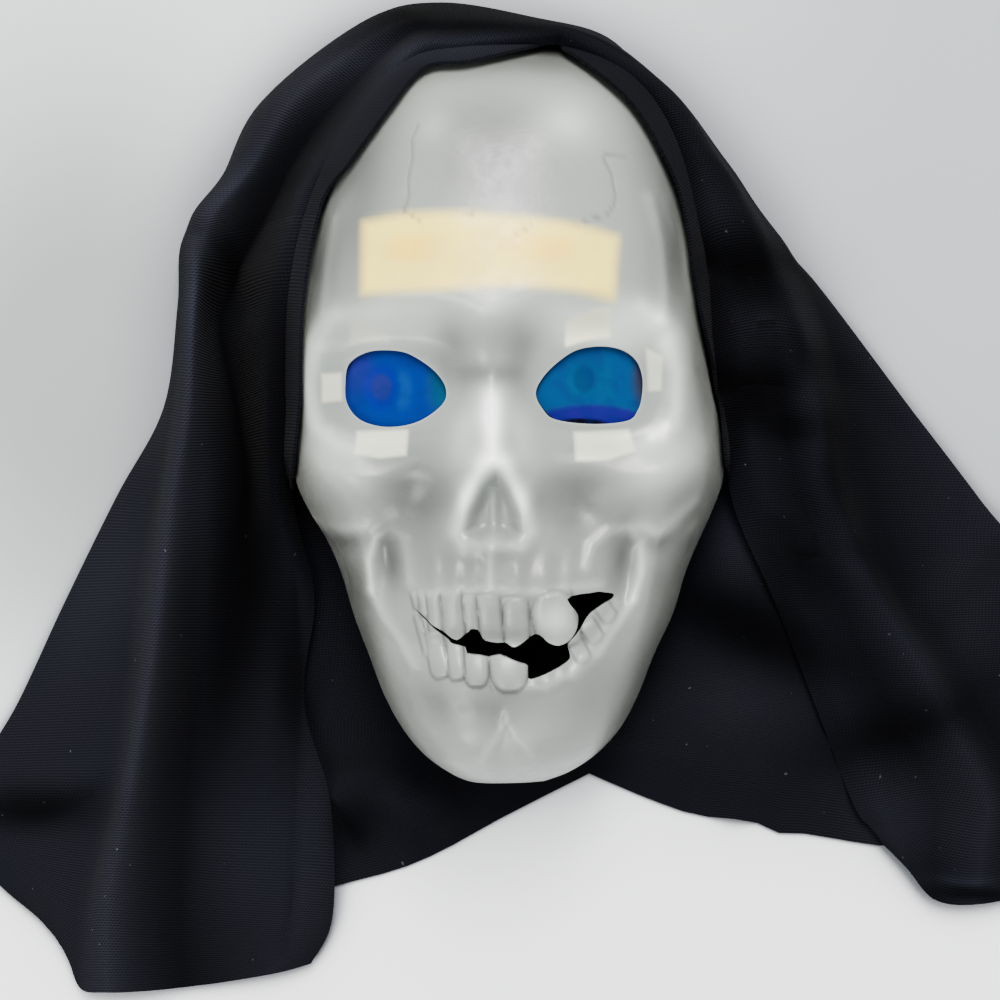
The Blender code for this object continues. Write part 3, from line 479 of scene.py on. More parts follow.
def ridge_height(x, y, table):
    """The soft ridges and grooves of a table together."""
    total = np.zeros(x.shape)
    for width, height, points in table.values():
        total += height * bell((line_distance(x, y, points) / width) ** 2)
    return total


def tooth_place(x, y, tooth):
    """Millimetres along a tooth from its root's end, place across it from -1 to 1, and its length."""
    root_x, root_y, bite_x, bite_y, width = tooth[:5]
    length = math.hypot(bite_x - root_x, bite_y - root_y)
    ux, uy = (bite_x - root_x) / length, (bite_y - root_y) / length
    dx, dy = x - root_x, y - root_y
    return dx * ux + dy * uy, (dx * uy - dy * ux) / (width / 2), length


def tooth_height(x, y):
    """Teeth that rise from the gum and end in the mouth; where two meet, the higher one shows."""
    highest = np.zeros(x.shape)
    for tooth in TEETH:
        along, across, length = tooth_place(x, y, tooth)
        width, out, root = tooth[4:]
        round_root = np.clip(along / (width / 2), 0, 1)
        narrow = 1 + (np.sqrt(1 - (1 - round_root) ** 2) - 1) * root
        section = 1 - np.abs(across / np.maximum(narrow, 0.05)) ** TOOTH_SQUARE
        section = np.clip(section, 0, 1) ** TOOTH_CROWN
        rise = smooth_step(along / ROOT_FADE) * (1 - root) + smooth_step(along / ROUND_ROOT_FADE) * root
        end = 1 - smooth_step((along - length) / BITE_FADE + 0.5)
        highest = np.maximum(highest, out * section * rise * np.where(along > 0, end, 0))
    return highest


def face_relief(x, y, plain, fade, fine):
    """Height of the face over a plain section; fine adds the small forms and the teeth."""
    z = plain + lump_height(x, y, BROAD_LUMPS) * fade
    for cx, cy, rx, ry, height, slope_x, slope_y in SOCKETS.values():
        r = np.abs((x - cx) / rx) ** SOCKET_FULL + np.abs((y - cy) / ry) ** SOCKET_FULL
        r = r ** (1 / SOCKET_FULL)
        weight = (1 - smooth_step((r - SOCKET_FLAT) / SOCKET_BLEND)) * fade
        z += (height + slope_x * (x - cx) + slope_y * (y - cy) - z) * weight
    hole = inside_distance(NOSE_HOLE, x, y)
    septum = np.where(y < SEPTUM_TOP, SEPTUM_HEIGHT * bell(((x - SEPTUM_X) / SEPTUM_WIDTH) ** 2), 0.0)
    z -= (NOSE_DEPTH - septum) * smooth_step((hole + NOSE_LIP) / NOSE_SLOPE) * fade
    if fine:
        z += (lump_height(x, y, FINE_LUMPS) + ridge_height(x, y, RIDGES) + tooth_height(x, y)) * fade
    return z


def shell_points(places, across, inset):
    """Points of the plain shell: down the rows and across from -1 to 1, and how much relief they take."""
    last = len(SKULL_ROWS) - 1
    y, left, right, crest, rim, full = np.moveaxis(rows_at(SKULL_ROWS, places), -1, 0)
    ahead = rows_at(SKULL_ROWS, np.minimum(places + SLOPE_STEP, last))
    behind = rows_at(SKULL_ROWS, np.maximum(places - SLOPE_STEP, 0))
    step = ahead - behind
    length = np.hypot(step[..., 0], step[..., 3])
    y = y - inset * step[..., 3] / length
    crest = crest + inset * step[..., 0] / length
    half = np.where(across > 0, right, left) - inset
    arch = np.clip(1 - np.abs(across) ** full, 0, 1) ** (1 / full)
    plain = rim + np.maximum(0.5, crest - rim) * arch
    edge = 1 - smooth_step((np.abs(across) - SIDE_FADE_FROM) / SIDE_FADE)
    ends = smooth_step((TOP_EDGE - y) / TOP_FADE) * smooth_step((y - CHIN_EDGE) / CHIN_FADE)
    return half * across, y, plain, edge * ends


def row_places(count):
    """Places down the shell's rows, closer together over the eyes, nose and mouth."""
    places = np.linspace(0, len(SKULL_ROWS) - 1, LENGTH_SAMPLES)
    rows = rows_at(SKULL_ROWS, places)
    steps = np.hypot(np.diff(rows[:, 0]), np.diff(rows[:, 3]))
    dense = (rows[1:, 0] > FACE_BOTTOM) & (rows[1:, 0] < FACE_TOP)
    travelled = np.concatenate([[0.0], np.cumsum(np.where(dense, steps * FACE_DENSITY, steps))])
    return np.interp(np.linspace(0, travelled[-1], count + 1), travelled, places)


def skull_height(x, y, inset):
    """Height of the shell's broad form over places in millimetres, and where there is any."""
    fine = np.linspace(0, len(SKULL_ROWS) - 1, HEIGHT_SAMPLES)
    fine_y = shell_points(fine, np.zeros(fine.shape), inset)[1]
    places = np.interp(-y, -fine_y, fine)
    rows = rows_at(SKULL_ROWS, places)
    half = np.where(x > 0, rows[..., 2], rows[..., 1]) - inset
    across = np.clip(x / half, -1, 1)
    px, py, plain, fade = shell_points(places, across, inset)
    there = (np.abs(x) < half) & (y < fine_y[0]) & (y > fine_y[-1])
    return face_relief(px, py, plain, fade, False), there


def new_object(name, points, faces):
    """An object from points in millimetres, in the tables' frame."""
    placed = (np.asarray(points, float) - (CENTRE_X, CENTRE_Y, 0)) * MM
    mesh = bpy.data.meshes.new(name)
    mesh.from_pydata(placed.tolist(), [], faces)
    mesh.update()
    made = bpy.data.objects.new(name, mesh)
    bpy.context.scene.collection.objects.link(made)
    return made


def outward(made):
    """Turns the faces of a closed mesh outwards."""
    bm = bmesh.new()
    bm.from_mesh(made.data)
    bmesh.ops.recalc_face_normals(bm, faces=bm.faces)
    if bm.calc_volume(signed=True) < 0:
        bmesh.ops.reverse_faces(bm, faces=bm.faces)
    bm.to_mesh(made.data)
    bm.free()


def grid_faces(rows, columns, first, flip):
    """Quads of a grid of points that start at the index first."""
    i, j = np.meshgrid(np.arange(rows), np.arange(columns), indexing="ij")
    a = (first + i * (columns + 1) + j).ravel()
    quads = np.stack([a, a + 1, a + columns + 2, a + columns + 1], axis=1)
    return (quads[:, ::-1] if flip else quads).tolist()


def grid_border(rows, columns, first):
    """Indices round the border of a grid, in order."""
    wide = columns + 1
    top = [first + j for j in range(columns)]
    right = [first + i * wide + columns for i in range(rows)]
    bottom = [first + rows * wide + j for j in range(columns, 0, -1)]
    left = [first + i * wide for i in range(rows, 0, -1)]
    return top + right + bottom + left


def shell_mesh():
    """The shell: a fine outside, an inside half as fine, and the rim between them."""
    places = row_places(SHELL_ROWS)
    even = np.linspace(-1, 1, SHELL_COLUMNS + 1)
    across = EVEN_SHARE * even + (1 - EVEN_SHARE) * np.sin(even * math.pi / 2)
    places, across = np.meshgrid(places, across, indexing="ij")
    x, y, plain, fade = shell_points(places, across, 0.0)
    outer = np.stack([x, y, face_relief(x, y, plain, fade, True)], axis=-1)
    broad = face_relief(x, y, plain, fade, False)
    inner_x, inner_y, under, _ = shell_points(places, across, WALL)
    inner = np.stack([inner_x, inner_y, broad - np.maximum(0, plain - under)], axis=-1)[::2, ::2]
    count = outer.shape[0] * outer.shape[1]
    small_rows, small_columns = SHELL_ROWS // 2, SHELL_COLUMNS // 2
    faces = grid_faces(SHELL_ROWS, SHELL_COLUMNS, 0, False)
    faces += grid_faces(small_rows, small_columns, count, True)
    outside = grid_border(SHELL_ROWS, SHELL_COLUMNS, 0)
    inside = grid_border(small_rows, small_columns, count)
    for k, p in enumerate(inside):
        q = inside[(k + 1) % len(inside)]
        a, b, c = outside[2 * k], outside[2 * k + 1], outside[(2 * k + 2) % len(outside)]
        faces += [(b, a, p), (b, p, q), (c, b, q)]
    made = new_object("skull_shell", np.concatenate([outer.reshape(-1, 3), inner.reshape(-1, 3)]), faces)
    outward(made)
    return made


def prism(name, outline, low, high):
    """A straight prism with the outline, between two heights."""
    count = len(outline)
    points = [(x, y, low) for x, y in outline] + [(x, y, high) for x, y in outline]
    faces = [tuple(range(count))[::-1], tuple(range(count, 2 * count))]
    for i in range(count):
        n = (i + 1) % count
        faces.append((i, n, n + count, i + count))
    made = new_object(name, points, faces)
    outward(made)
    return made


def rounded(outline, steps):
    """The outline with smooth curves through its points."""
    points = np.array(outline, float)
    fine = []
    for i in range(len(points)):
        four = [points[(i + k) % len(points)] for k in (-1, 0, 1, 2)]
        fine += [tuple(catmull(*four, s / steps)) for s in range(steps)]
    return fine


def cut(target, tool):
    """Cuts the tool out of the target and removes it."""
    modifier = target.modifiers.new("cut", "BOOLEAN")
    modifier.operation = "DIFFERENCE"
    modifier.solver = "MANIFOLD"
    modifier.object = tool
    bpy.context.view_layer.update()
    result = target.evaluated_get(bpy.context.evaluated_depsgraph_get())
    mesh = bpy.data.meshes.new_from_object(result)
    target.modifiers.clear()
    target.data = mesh
    bpy.data.objects.remove(tool)


def shade_smooth(made, degrees):
    made.data.polygons.foreach_set("use_smooth", [True] * len(made.data.polygons))
    made.data.set_sharp_from_angle(angle=math.radians(degrees))


def vertex_values(made, key):
    """The places or directions of the object's vertices."""
    flat = np.empty(len(made.data.vertices) * 3)
    made.data.vertices.foreach_get(key, flat)
    return flat.reshape(-1, 3)


# Colours as the eye sees them, from 0 to 255
PLASTIC = (126, 130, 124)
PLASTIC_SHADE = (118, 116, 108)
FOAM_SEEN = (255, 226, 104)
FOAM_SPOT = (255, 206, 56)
TAPE_SEEN = (206, 206, 186)
TAPE_SHADE = (112, 120, 112)
TAPE_BRIGHT = (244, 244, 208)
CRACK_LINE = (84, 82, 76)
CUT_EDGE = (150, 152, 146)

# What shows through the plastic: colour, strength, softness, outline
PAD_SEEN = [(-41, 89), (-26, 90.4), (-8, 90.3), (12, 88.6), (28, 86.6), (40.5, 84), (39.5, 74), (39, 63.5),
            (24, 66.5), (6, 67.5), (-18, 66), (-41, 66)]
SHOW_THROUGH = [
    (FOAM_SEEN, 0.95, 2.6, PAD_SEEN),
    (TAPE_SEEN, 0.85, 0.8, [(-44, 22.5), (-27, 22.8), (-27.5, 14.5), (-36, 13.6), (-44.5, 15)]),
    (TAPE_SEEN, 0.35, 1.6, [(-45.5, 57.5), (-33, 57), (-33.5, 51.5), (-46, 52)]),
    (TAPE_BRIGHT, 0.9, 0.8, [(24, 57.5), (33, 61), (38, 61.3), (38.6, 53), (30, 51.5), (24, 49.5)]),
    (TAPE_SEEN, 0.85, 0.8, [(27, 22), (45, 23), (47, 16), (38, 13), (27.3, 12.6)]),
    (TAPE_SEEN, 0.6, 0.8, [(50.6, 49.5), (56, 47), (55.6, 36), (51.4, 35.6)]),
    (TAPE_SHADE, 0.6, 0.8, [(-56, 48), (-49, 47.6), (-48.6, 41.8), (-55.6, 41.5)]),
    (TAPE_SEEN, 0.6, 0.8, [(-55.6, 41.3), (-49, 41.6), (-49, 32.6), (-55.6, 32)]),
    (TAPE_SHADE, 0.6, 0.8, [(-55.6, 31.8), (-49, 32), (-47, 25), (-54, 25)]),
]
# Deeper spots in the foam: x, y, reach in x, reach in y, strength
FOAM_SPOTS = [(-25.5, 79.5, 9, 4.6, 0.9), (15.5, 79, 10.5, 4.4, 1.0), (-4, 83, 12, 3, 0.35),
              (2, 76, 26, 11, 0.4)]

# Painted light and shade on the plastic, in stops: painted highlights on lit forms and painted shade in
# hollows and at the edges:
# x, y, reach in x, reach in y, turn in degrees, stops
PAINTED_LIGHT_AND_SHADE = {
    "under brow left": (-28, 57, 24, 7, 8, 1.3),
    "under brow right": (32, 57, 24, 7, -8, 1.9),
    "between the brows": (1, 58, 12, 8, 0, 0.35),
    "forehead middle": (0, 112, 16, 18, 0, -1.0),
    "forehead left": (-44, 100, 11, 30, -14, -1.3),
    "forehead right": (54, 106, 8, 30, 14, -0.8),
    "root of the nose": (-1, 40.5, 8, 3.4, 0, -0.8),
    "nose flank left": (-8, 24, 5, 12, -12, 0.8),
    "nose flank right": (9, 24, 5, 12, 12, 0.7),
    "beside left eye": (-53, 38, 5, 12, 0, -0.5),
    "beside left eye inside": (-10, 36, 4, 7, 0, -0.3),
    "beside right eye inside": (10, 34, 4, 7, 0, -0.3),
    "round right eye": (33, 37, 20, 15, 0, -0.25),
    "round left eye": (-31, 36, 20, 15, 0, -0.25),
    "jaw side left": (-46, -32, 6, 24, 12, -0.7),
    "jaw side right": (58, -34, 6, 24, -12, -0.35),
    "cheek side left": (-62, 4, 7, 14, 0, 0.3),
    "cheek side right": (69, 8, 6, 16, 0, 0.3),
    "above the teeth": (-4, -19, 28, 8, 0, -0.7),
    "teeth": (0, -38, 24, 7, 0, -0.35),
    "chin middle": (-6, -66, 16, 9, 0, -0.9),
    "chin below": (6, -88, 14, 6, 0, -0.2),
    "upper jaw hollow left": (-25, 1, 12, 14, 10, -1.8),
    "upper jaw hollow right": (29, -1, 14, 13, -12, -1.3),
    "jaw hollow left": (-33.5, -20, 3.6, 10, 6, -1.5),
    "jaw hollow right": (43, -19, 4.5, 11, -6, -1.3),
    "eye corner left": (-13, 48, 5, 9, 0, -0.8),
    "eye corner right": (10, 48, 5, 9, 0, -0.6),
    "nose bridge": (0.2, 27, 4.6, 11, 0, 1.5),
    "nose tip": (0.5, 13, 8, 4, 0, 0.9),
    "nose rim left": (-8.4, 1, 3.0, 11, -24, 0.9),
    "nose rim right": (10, 1, 3.0, 11, 24, 0.8),
    "nose inside": (0.6, -3, 5.5, 8, 0, -0.5),
    "cheek bone left": (-48, 9, 14, 10, -20, 0.5),
    "cheek bone right": (54, 10, 15, 10, 20, 0.7),
    "brow left": (-38, 60, 16, 4, 4, 0.6),
    "brow right": (46, 60, 12, 5, -10, 0.7),
    "forehead boss": (24, 121, 10, 9, 0, 0.9),
    "forehead boss left": (-18, 119, 6, 7, 0, 0.5),
    "forehead top": (6, 133, 26, 6, 0, 0.2),
    "temple left": (-60, 76, 6, 16, 0, -1.5),
    "temple right": (60, 76, 6, 16, 0, -0.8),
    "chin": (4, -84, 14, 8, 0, 0.3),
    "lower lip": (-6, -64, 26, 6, 0, -0.2),
    "jaw left": (-22, -64, 10, 14, 20, -0.3),
    "jaw right": (34, -62, 12, 14, -20, -0.5),
    "big tooth": (20.6, -38, 6, 7, 0, 1.0),
    "top edge": (15, 150, 60, 12, 0, -1.2),
}
# Lines of painted highlight and painted shade on the moulded sheet: width, stops, line through points
HIGHLIGHT_AND_SHADE_LINES = {
    "under the cheek left": (3.0, -0.5, [(-59, -12.5), (-53, -14.5), (-46, -14)]),
    "under the cheek right": (3.0, -0.4, [(68, -14), (60, -16), (54, -15)]),
    "cheek edge left": (2.4, 0.4, [(-63, -6), (-57, -9.5), (-50, -10.6), (-43, -9.4)]),
    "cheek edge right": (2.4, 0.4, [(69, -7), (62, -10.6), (55, -11.4), (49, -9)]),
    "eye rim left": (2.6, 0.45, [(-57, 50), (-59.4, 37), (-57.5, 24), (-50, 19), (-43.7, 17)]),
    "eye rim right": (2.6, 0.45, [(56.5, 51.7), (60.6, 42), (60.6, 25), (54, 21.6), (47.8, 19)]),
    "over the eye left": (3.0, -0.3, [(-51.7, 48), (-39, 51), (-29, 51), (-19.6, 47.5), (-13, 40)]),
    "over the eye right": (3.0, -0.3, [(29, 53), (41, 53.6), (50, 50), (53, 41)]),
    "spark of the eye rim": (2.0, 0.9, [(52.5, 21), (56.5, 24.5)]),
    "jaw arch left": (1.6, 0.35, [(-40, -30), (-40.4, -20), (-38, -13)]),
    "jaw arch right": (2.0, 0.3, [(42, -10), (45, -9.8), (49, -14), (49, -24), (46.6, -33), (35, -50)]),
    "septum": (1.2, 0.3, [(0.8, 2), (0.6, -10)]),
    "nose rim left": (2.4, 0.4, [(-3, 10), (-6.4, 4), (-10, -4), (-11.6, -11), (-9, -15)]),
    "nose rim right": (2.4, 0.4, [(5, 10), (8, 3), (11.4, -4), (13, -11), (10, -15)]),
    "bridge": (3.0, 0.5, [(0, 32), (0.4, 18)]),
    "grey over the nose": (4.0, -0.4, [(-7, 40), (7, 40)]),
    "under the nose": (1.8, 0.4, [(0.4, -14), (0, -27)]),
}
# Stops of painted shade that a steep place and a seam take away, and stops of painted light that each
# millimetre of a ridge adds, painted shade for a groove
STEEP_SHADE_STOPS = 0.9
SEAM_SHADE_STOPS = 0.9
RIDGE_LIGHT_AND_SHADE_STOPS = 0.35
# Share of the painted shade colour laid on steep plastic, and the brightest colour the paint reaches
STEEP_SHADE_SHARE = 0.5
BRIGHTEST = 0.95
# Steep plastic gets painted shade, partly the dark hood showing through, from this share of the half width
# on, and from this height on the face.
SIDE_FROM = 0.72
SIDE_BLEND = 0.24
TOP_FROM = 120
TOP_BLEND = 25
# It counts as steep where its direction points upwards by less than this share.
STEEP_UNDER = 0.84
STEEP_BLEND = 0.5
# Painted lines: strength and widths
LINE_STRENGTH = 0.5
CRACK_WIDTH = 0.5
CUT_WIDTH = 0.35
PAD_BLEND = 4
SPOT_FULLNESS = 1.6
# Seams round the teeth that get painted shade, in millimetres: beside a tooth, round its root, and where
# its clear face starts
SEAM_WIDTH = 0.5
SEAM_LEAD = 0.2
SEAM_START = 3.5
SEAM_END = 2.0
FOOT_WIDTH = 0.6
FOOT_SHARE = 0.8
CROWN_EDGE = 0.3
CROWN_BLEND = 0.8
CROWN_END = 1.5


def linear(colour):
    """Scene-linear values of a colour as the eye sees it."""
    c = np.array(colour, float) / 255
    return np.where(c <= 0.04045, c / 12.92, ((c + 0.055) / 1.055) ** 2.4)


def tooth_seams(x, y):
    """1 in the seams round the teeth, where painted shade lies, 0 on them and away from them."""
    seam = np.zeros(x.shape)
    inner = np.zeros(x.shape)
    for tooth in TEETH:
        along, across, length = tooth_place(x, y, tooth)
        half, root = tooth[4] / 2, tooth[6]
        outside = (np.abs(across) - 1) * half
        ends = smooth_step((along + SEAM_LEAD) / SEAM_START)
        ends = ends * (1 - smooth_step((along - length) / SEAM_END))
        seam = np.maximum(seam, ends * bell((outside / SEAM_WIDTH) ** 2))
        beyond = np.hypot(across * half, np.minimum(along - half, 0)) - half
        foot = bell((beyond / FOOT_WIDTH) ** 2) * (along < half) * root ** 2
        seam = np.maximum(seam, FOOT_SHARE * foot)
        clear = np.clip((-outside - CROWN_EDGE) / CROWN_BLEND, 0, 1)
        clear *= np.clip(along / CROWN_END, 0, 1) * np.clip((length - along) / CROWN_END, 0, 1)
        inner = np.maximum(inner, clear * (along > half * root))
    return seam * (1 - inner)


def steepness(x, y, upward):
    """How steep the shell is towards its sides and its top, from 0 to 1."""
    places = np.interp(-y, -SKULL_ROWS[:, 0], np.arange(len(SKULL_ROWS), dtype=float))
    rows = rows_at(SKULL_ROWS, places)
    across = np.abs(x) / np.where(x > 0, rows[:, 2], rows[:, 1])
    outer = smooth_step((across - SIDE_FROM) / SIDE_BLEND)
    outer = np.maximum(outer, smooth_step((y - TOP_FROM) / TOP_BLEND))
    return smooth_step((STEEP_UNDER - upward) / STEEP_BLEND) * outer


def paint_shell(made):
    """Colours the shell's points: painted light and shade on the milky plastic, and the foam and tape that
    show through.
    """
    x, y = vertex_values(made, "co").T[:2] / MM + ((CENTRE_X,), (CENTRE_Y,))
    colour = np.tile(linear(PLASTIC), (len(x), 1))

    def lay(amount, target):
        nonlocal colour
        amount = np.clip(amount, 0, 1)[:, None]
        colour = colour * (1 - amount) + linear(target) * amount

    # Painted shade where the plastic is steep towards its sides and top, partly the dark hood showing
    # through
    steep = steepness(x, y, vertex_values(made, "normal")[:, 2])
    lay(STEEP_SHADE_SHARE * steep, PLASTIC_SHADE)
    # Painted light and shade in stops: the named patches, lighter ridges and darker grooves, the lines,
    # and shade in the seams round the teeth
    stops = lump_height(x, y, PAINTED_LIGHT_AND_SHADE) - STEEP_SHADE_STOPS * steep
    stops += RIDGE_LIGHT_AND_SHADE_STOPS * np.clip(ridge_height(x, y, RIDGES), -2, 2)
    stops += ridge_height(x, y, HIGHLIGHT_AND_SHADE_LINES)
    stops -= SEAM_SHADE_STOPS * tooth_seams(x, y)
    colour = np.minimum(colour * (2.0 ** stops)[:, None], BRIGHTEST)
    for target, strength, softness, outline in SHOW_THROUGH:
        edge = inside_distance(outline, x, y)
        lay(strength * smooth_step(0.5 + edge / (2 * softness)), target)
    inside_pad = smooth_step(0.5 + inside_distance(PAD_SEEN, x, y) / PAD_BLEND)
    for cx, cy, rx, ry, strength in FOAM_SPOTS:
        square = ((x - cx) / rx) ** 2 + ((y - cy) / ry) ** 2
        lay(strength * bell(square ** SPOT_FULLNESS) * inside_pad, FOAM_SPOT)
    for name, ridge in RIDGES.items():
        if name.startswith("crack"):
            near = line_distance(x, y, ridge[2])
            lay(LINE_STRENGTH * bell((near / CRACK_WIDTH) ** 2), CRACK_LINE)
    for outline in EYE_HOLES.values():
        near = inside_distance(rounded(outline, EYE_STEPS), x, y)
        lay(LINE_STRENGTH * bell((near / CUT_WIDTH) ** 2), CUT_EDGE)
    attribute = made.data.color_attributes.new("paint", "FLOAT_COLOR", "POINT")
    values = np.concatenate([colour, np.ones((len(x), 1))], axis=1)
    attribute.data.foreach_set("color", values.ravel())


class Shader:
    """A material's nodes, made by short calls."""

    def __init__(self, name):
        self.material = bpy.data.materials.new(name)
        self.material.use_nodes = True
        self.tree = self.material.node_tree
        self.surface = self.tree.nodes["Principled BSDF"]

    def node(self, kind, **settings):
        made = self.tree.nodes.new(kind)
        for key, value in settings.items():
            setattr(made, key, value)
        return made

    def feed(self, socket, value):
        if hasattr(value, "links"):
            self.tree.links.new(value, socket)
        else:
            socket.default_value = value

    def fill(self, made, **inputs):
        for key, value in inputs.items():
            self.feed(made.inputs[key.replace("_", " ")], value)

    def set(self, **inputs):
        self.fill(self.surface, **inputs)

    def math(self, operation, a, b=0.0):
        made = self.node("ShaderNodeMath", operation=operation)
        self.feed(made.inputs[0], a)
        self.feed(made.inputs[1], b)
        return made.outputs[0]

    def mix(self, share, a, b):
        made = self.node("ShaderNodeMix", data_type="RGBA")
        self.feed(made.inputs[0], share)
        self.feed(made.inputs[6], a)
        self.feed(made.inputs[7], b)
        return made.outputs[2]

    def noise(self, vector, scale, detail=3.0, roughness=0.5):
        made = self.node("ShaderNodeTexNoise")
        self.fill(made, Vector=vector, Scale=scale, Detail=detail, Roughness=roughness)
        return made.outputs["Fac"]

    def fade(self, value, low, high, to_low=0.0, to_high=1.0):
        made = self.node("ShaderNodeMapRange", interpolation_type="SMOOTHSTEP")
        self.fill(made, Value=value, From_Min=low, From_Max=high, To_Min=to_low, To_Max=to_high)
        return made.outputs["Result"]

    def place(self):
        """Place on the object, in metres of the frame."""
        return self.node("ShaderNodeTexCoord").outputs["Object"]

    def distance(self, vector, x, y, stretch_x=1.0, stretch_y=1.0):
        """Distance in millimetres from a point of the tables' frame, seen from above."""
        parts = self.node("ShaderNodeSeparateXYZ")
        self.feed(parts.inputs[0], vector)
        across = self.math("MULTIPLY", parts.outputs[0], stretch_x / MM)
        across = self.math("SUBTRACT", across, (x - CENTRE_X) * stretch_x)
        along = self.math("MULTIPLY", parts.outputs[1], stretch_y / MM)
        along = self.math("SUBTRACT", along, (y - CENTRE_Y) * stretch_y)
        across = self.math("MULTIPLY", across, across)
        along = self.math("MULTIPLY", along, along)
        return self.math("SQRT", self.math("ADD", across, along))

    def bump(self, height, distance, strength=1.0):
        made = self.node("ShaderNodeBump")
        self.fill(made, Distance=distance, Strength=strength, Height=height)
        self.set(Normal=made.outputs[0])


def eye(colour):
    """A colour socket's value from a colour as the eye sees it."""
    return tuple(linear(colour)) + (1.0,)


def plastic_material():
    s = Shader("milky_plastic")
    place = s.place()
    paint = s.node("ShaderNodeVertexColor", layer_name="paint").outputs["Color"]
    cloudy = s.fade(s.noise(place, 60, 4), 0.35, 0.7, 0.0, 0.16)
    tint = s.mix(cloudy, paint, eye((120, 122, 118)))
    s.set(Base_Color=tint, Roughness=s.fade(s.noise(place, 240, 2), 0.3, 0.7, 0.3, 0.42))
    s.set(Subsurface_Weight=0.35, Subsurface_Scale=0.006, Subsurface_Radius=(1.0, 0.95, 0.8))
    s.set(Coat_Weight=0.12, Coat_Roughness=0.3, Specular_IOR_Level=0.35)
    s.bump(s.noise(place, 700, 3), 0.00012, 0.5)
    return s.material


# How much the colour of the lenses is darkened, their plain colour, and the spots on it:
# x, y, stretch of the distance in x and y, full within, gone beyond, strength, colour
LENS_DEPTH = 0.84
LENS_BASE = {"left": (0, 84, 226), "right": (0, 122, 208)}
LENS_SPOTS = {
    "left": {
        "crescent": (-29.0, 36.0, 1.5, 0.75, 2.5, 7.0, 0.75, (0, 118, 240)),
        "ring": (-36.0, 37.0, 1.0, 0.8, 4.2, 7.4, 0.9, (8, 60, 240)),
        "core": (-36.0, 37.0, 1.0, 0.8, 2.6, 4.4, 0.85, (66, 76, 196)),
        "inner end": (-16.0, 37.0, 1.0, 0.5, 1.5, 7.0, 0.9, (0, 132, 176)),
        "violet": (-45.0, 43.0, 1.0, 0.7, 2.0, 10.0, 0.65, (78, 62, 214)),
    },
    "right": {
        "crescent": (37.3, 38.6, 1.5, 0.75, 2.5, 7.0, 0.75, (0, 132, 206)),
        "ring": (30.3, 39.6, 1.0, 0.8, 4.2, 7.4, 0.9, (0, 134, 204)),
        "core": (30.3, 39.6, 1.0, 0.8, 2.6, 4.4, 0.85, (0, 104, 176)),
        "outer end": (51.0, 39.6, 1.0, 0.5, 1.5, 7.0, 0.9, (92, 78, 70)),
        "lower band": (33.0, -2.0, 0.8, 1.0, 32.0, 34.0, 0.95, (62, 32, 206)),
        "slit": (29.4, 25.0, 0.2, 1.0, 1.1, 2.1, 1.0, (12, 8, 22)),
    },
}


def lens_material(side):
    """Blue lens sheet with a faint iris that seems to lie behind it."""
    s = Shader("lens_" + side)
    place = s.place()
    colour = eye(LENS_BASE[side])
    for x, y, stretch_x, stretch_y, full, gone, strength, spot in LENS_SPOTS[side].values():
        near = s.distance(place, x, y, stretch_x, stretch_y)
        colour = s.mix(s.fade(near, full, gone, strength, 0.0), colour, eye(spot))
    cloud = s.noise(place, 160, 3)
    colour = s.mix(s.fade(cloud, 0.4, 0.65, 0.0, 0.3), colour, eye((0, 60, 176)))
    s.set(Base_Color=s.mix(LENS_DEPTH, colour, (0, 0, 0, 1)), Roughness=0.4, Specular_IOR_Level=0.03)
    lines = s.node("ShaderNodeTexWave", wave_type="BANDS", bands_direction="X")
    s.fill(lines, Vector=place, Scale=900)
    s.bump(lines.outputs["Fac"], 0.00004, 0.4)
    return s.material


def tape_material():
    s = Shader("paper_tape")
    place = s.place()
    grain = s.noise(place, 900, 3)
    s.set(Base_Color=s.mix(grain, eye((236, 232, 208)), eye((214, 208, 184))), Roughness=0.65)
    s.bump(grain, 0.00008, 0.5)
    return s.material


def foam_material():
    s = Shader("yellow_foam")
    place = s.place()
    cells = s.node("ShaderNodeTexVoronoi")
    s.fill(cells, Vector=place, Scale=1400)
    depth = cells.outputs["Distance"]
    s.set(Base_Color=s.mix(depth, eye((246, 232, 190)), eye((214, 192, 140))), Roughness=0.9)
    s.bump(depth, 0.0003, 0.7)
    return s.material


# Knit of the hood: ribs per metre along the cloth, and stitches for each rib
RIBS_PER_METRE = 1000.0
STITCHES_PER_RIB = 0.8
# What the ribs, stitches and fuzz add to the relief of the yarn
RIB_HEIGHT = 0.5
STITCH_HEIGHT = 0.25
FUZZ_HEIGHT = 0.9
# Knit colours: painted shade in the grooves and painted light on the crests of the yarn's relief, a blue
# tint, and lint
KNIT_GROOVE_SHADE = (7, 7, 10)
KNIT_CREST_LIGHT = (17, 17, 21)
KNIT_BLUE = (8, 10, 16)
LINT = (56, 56, 60)


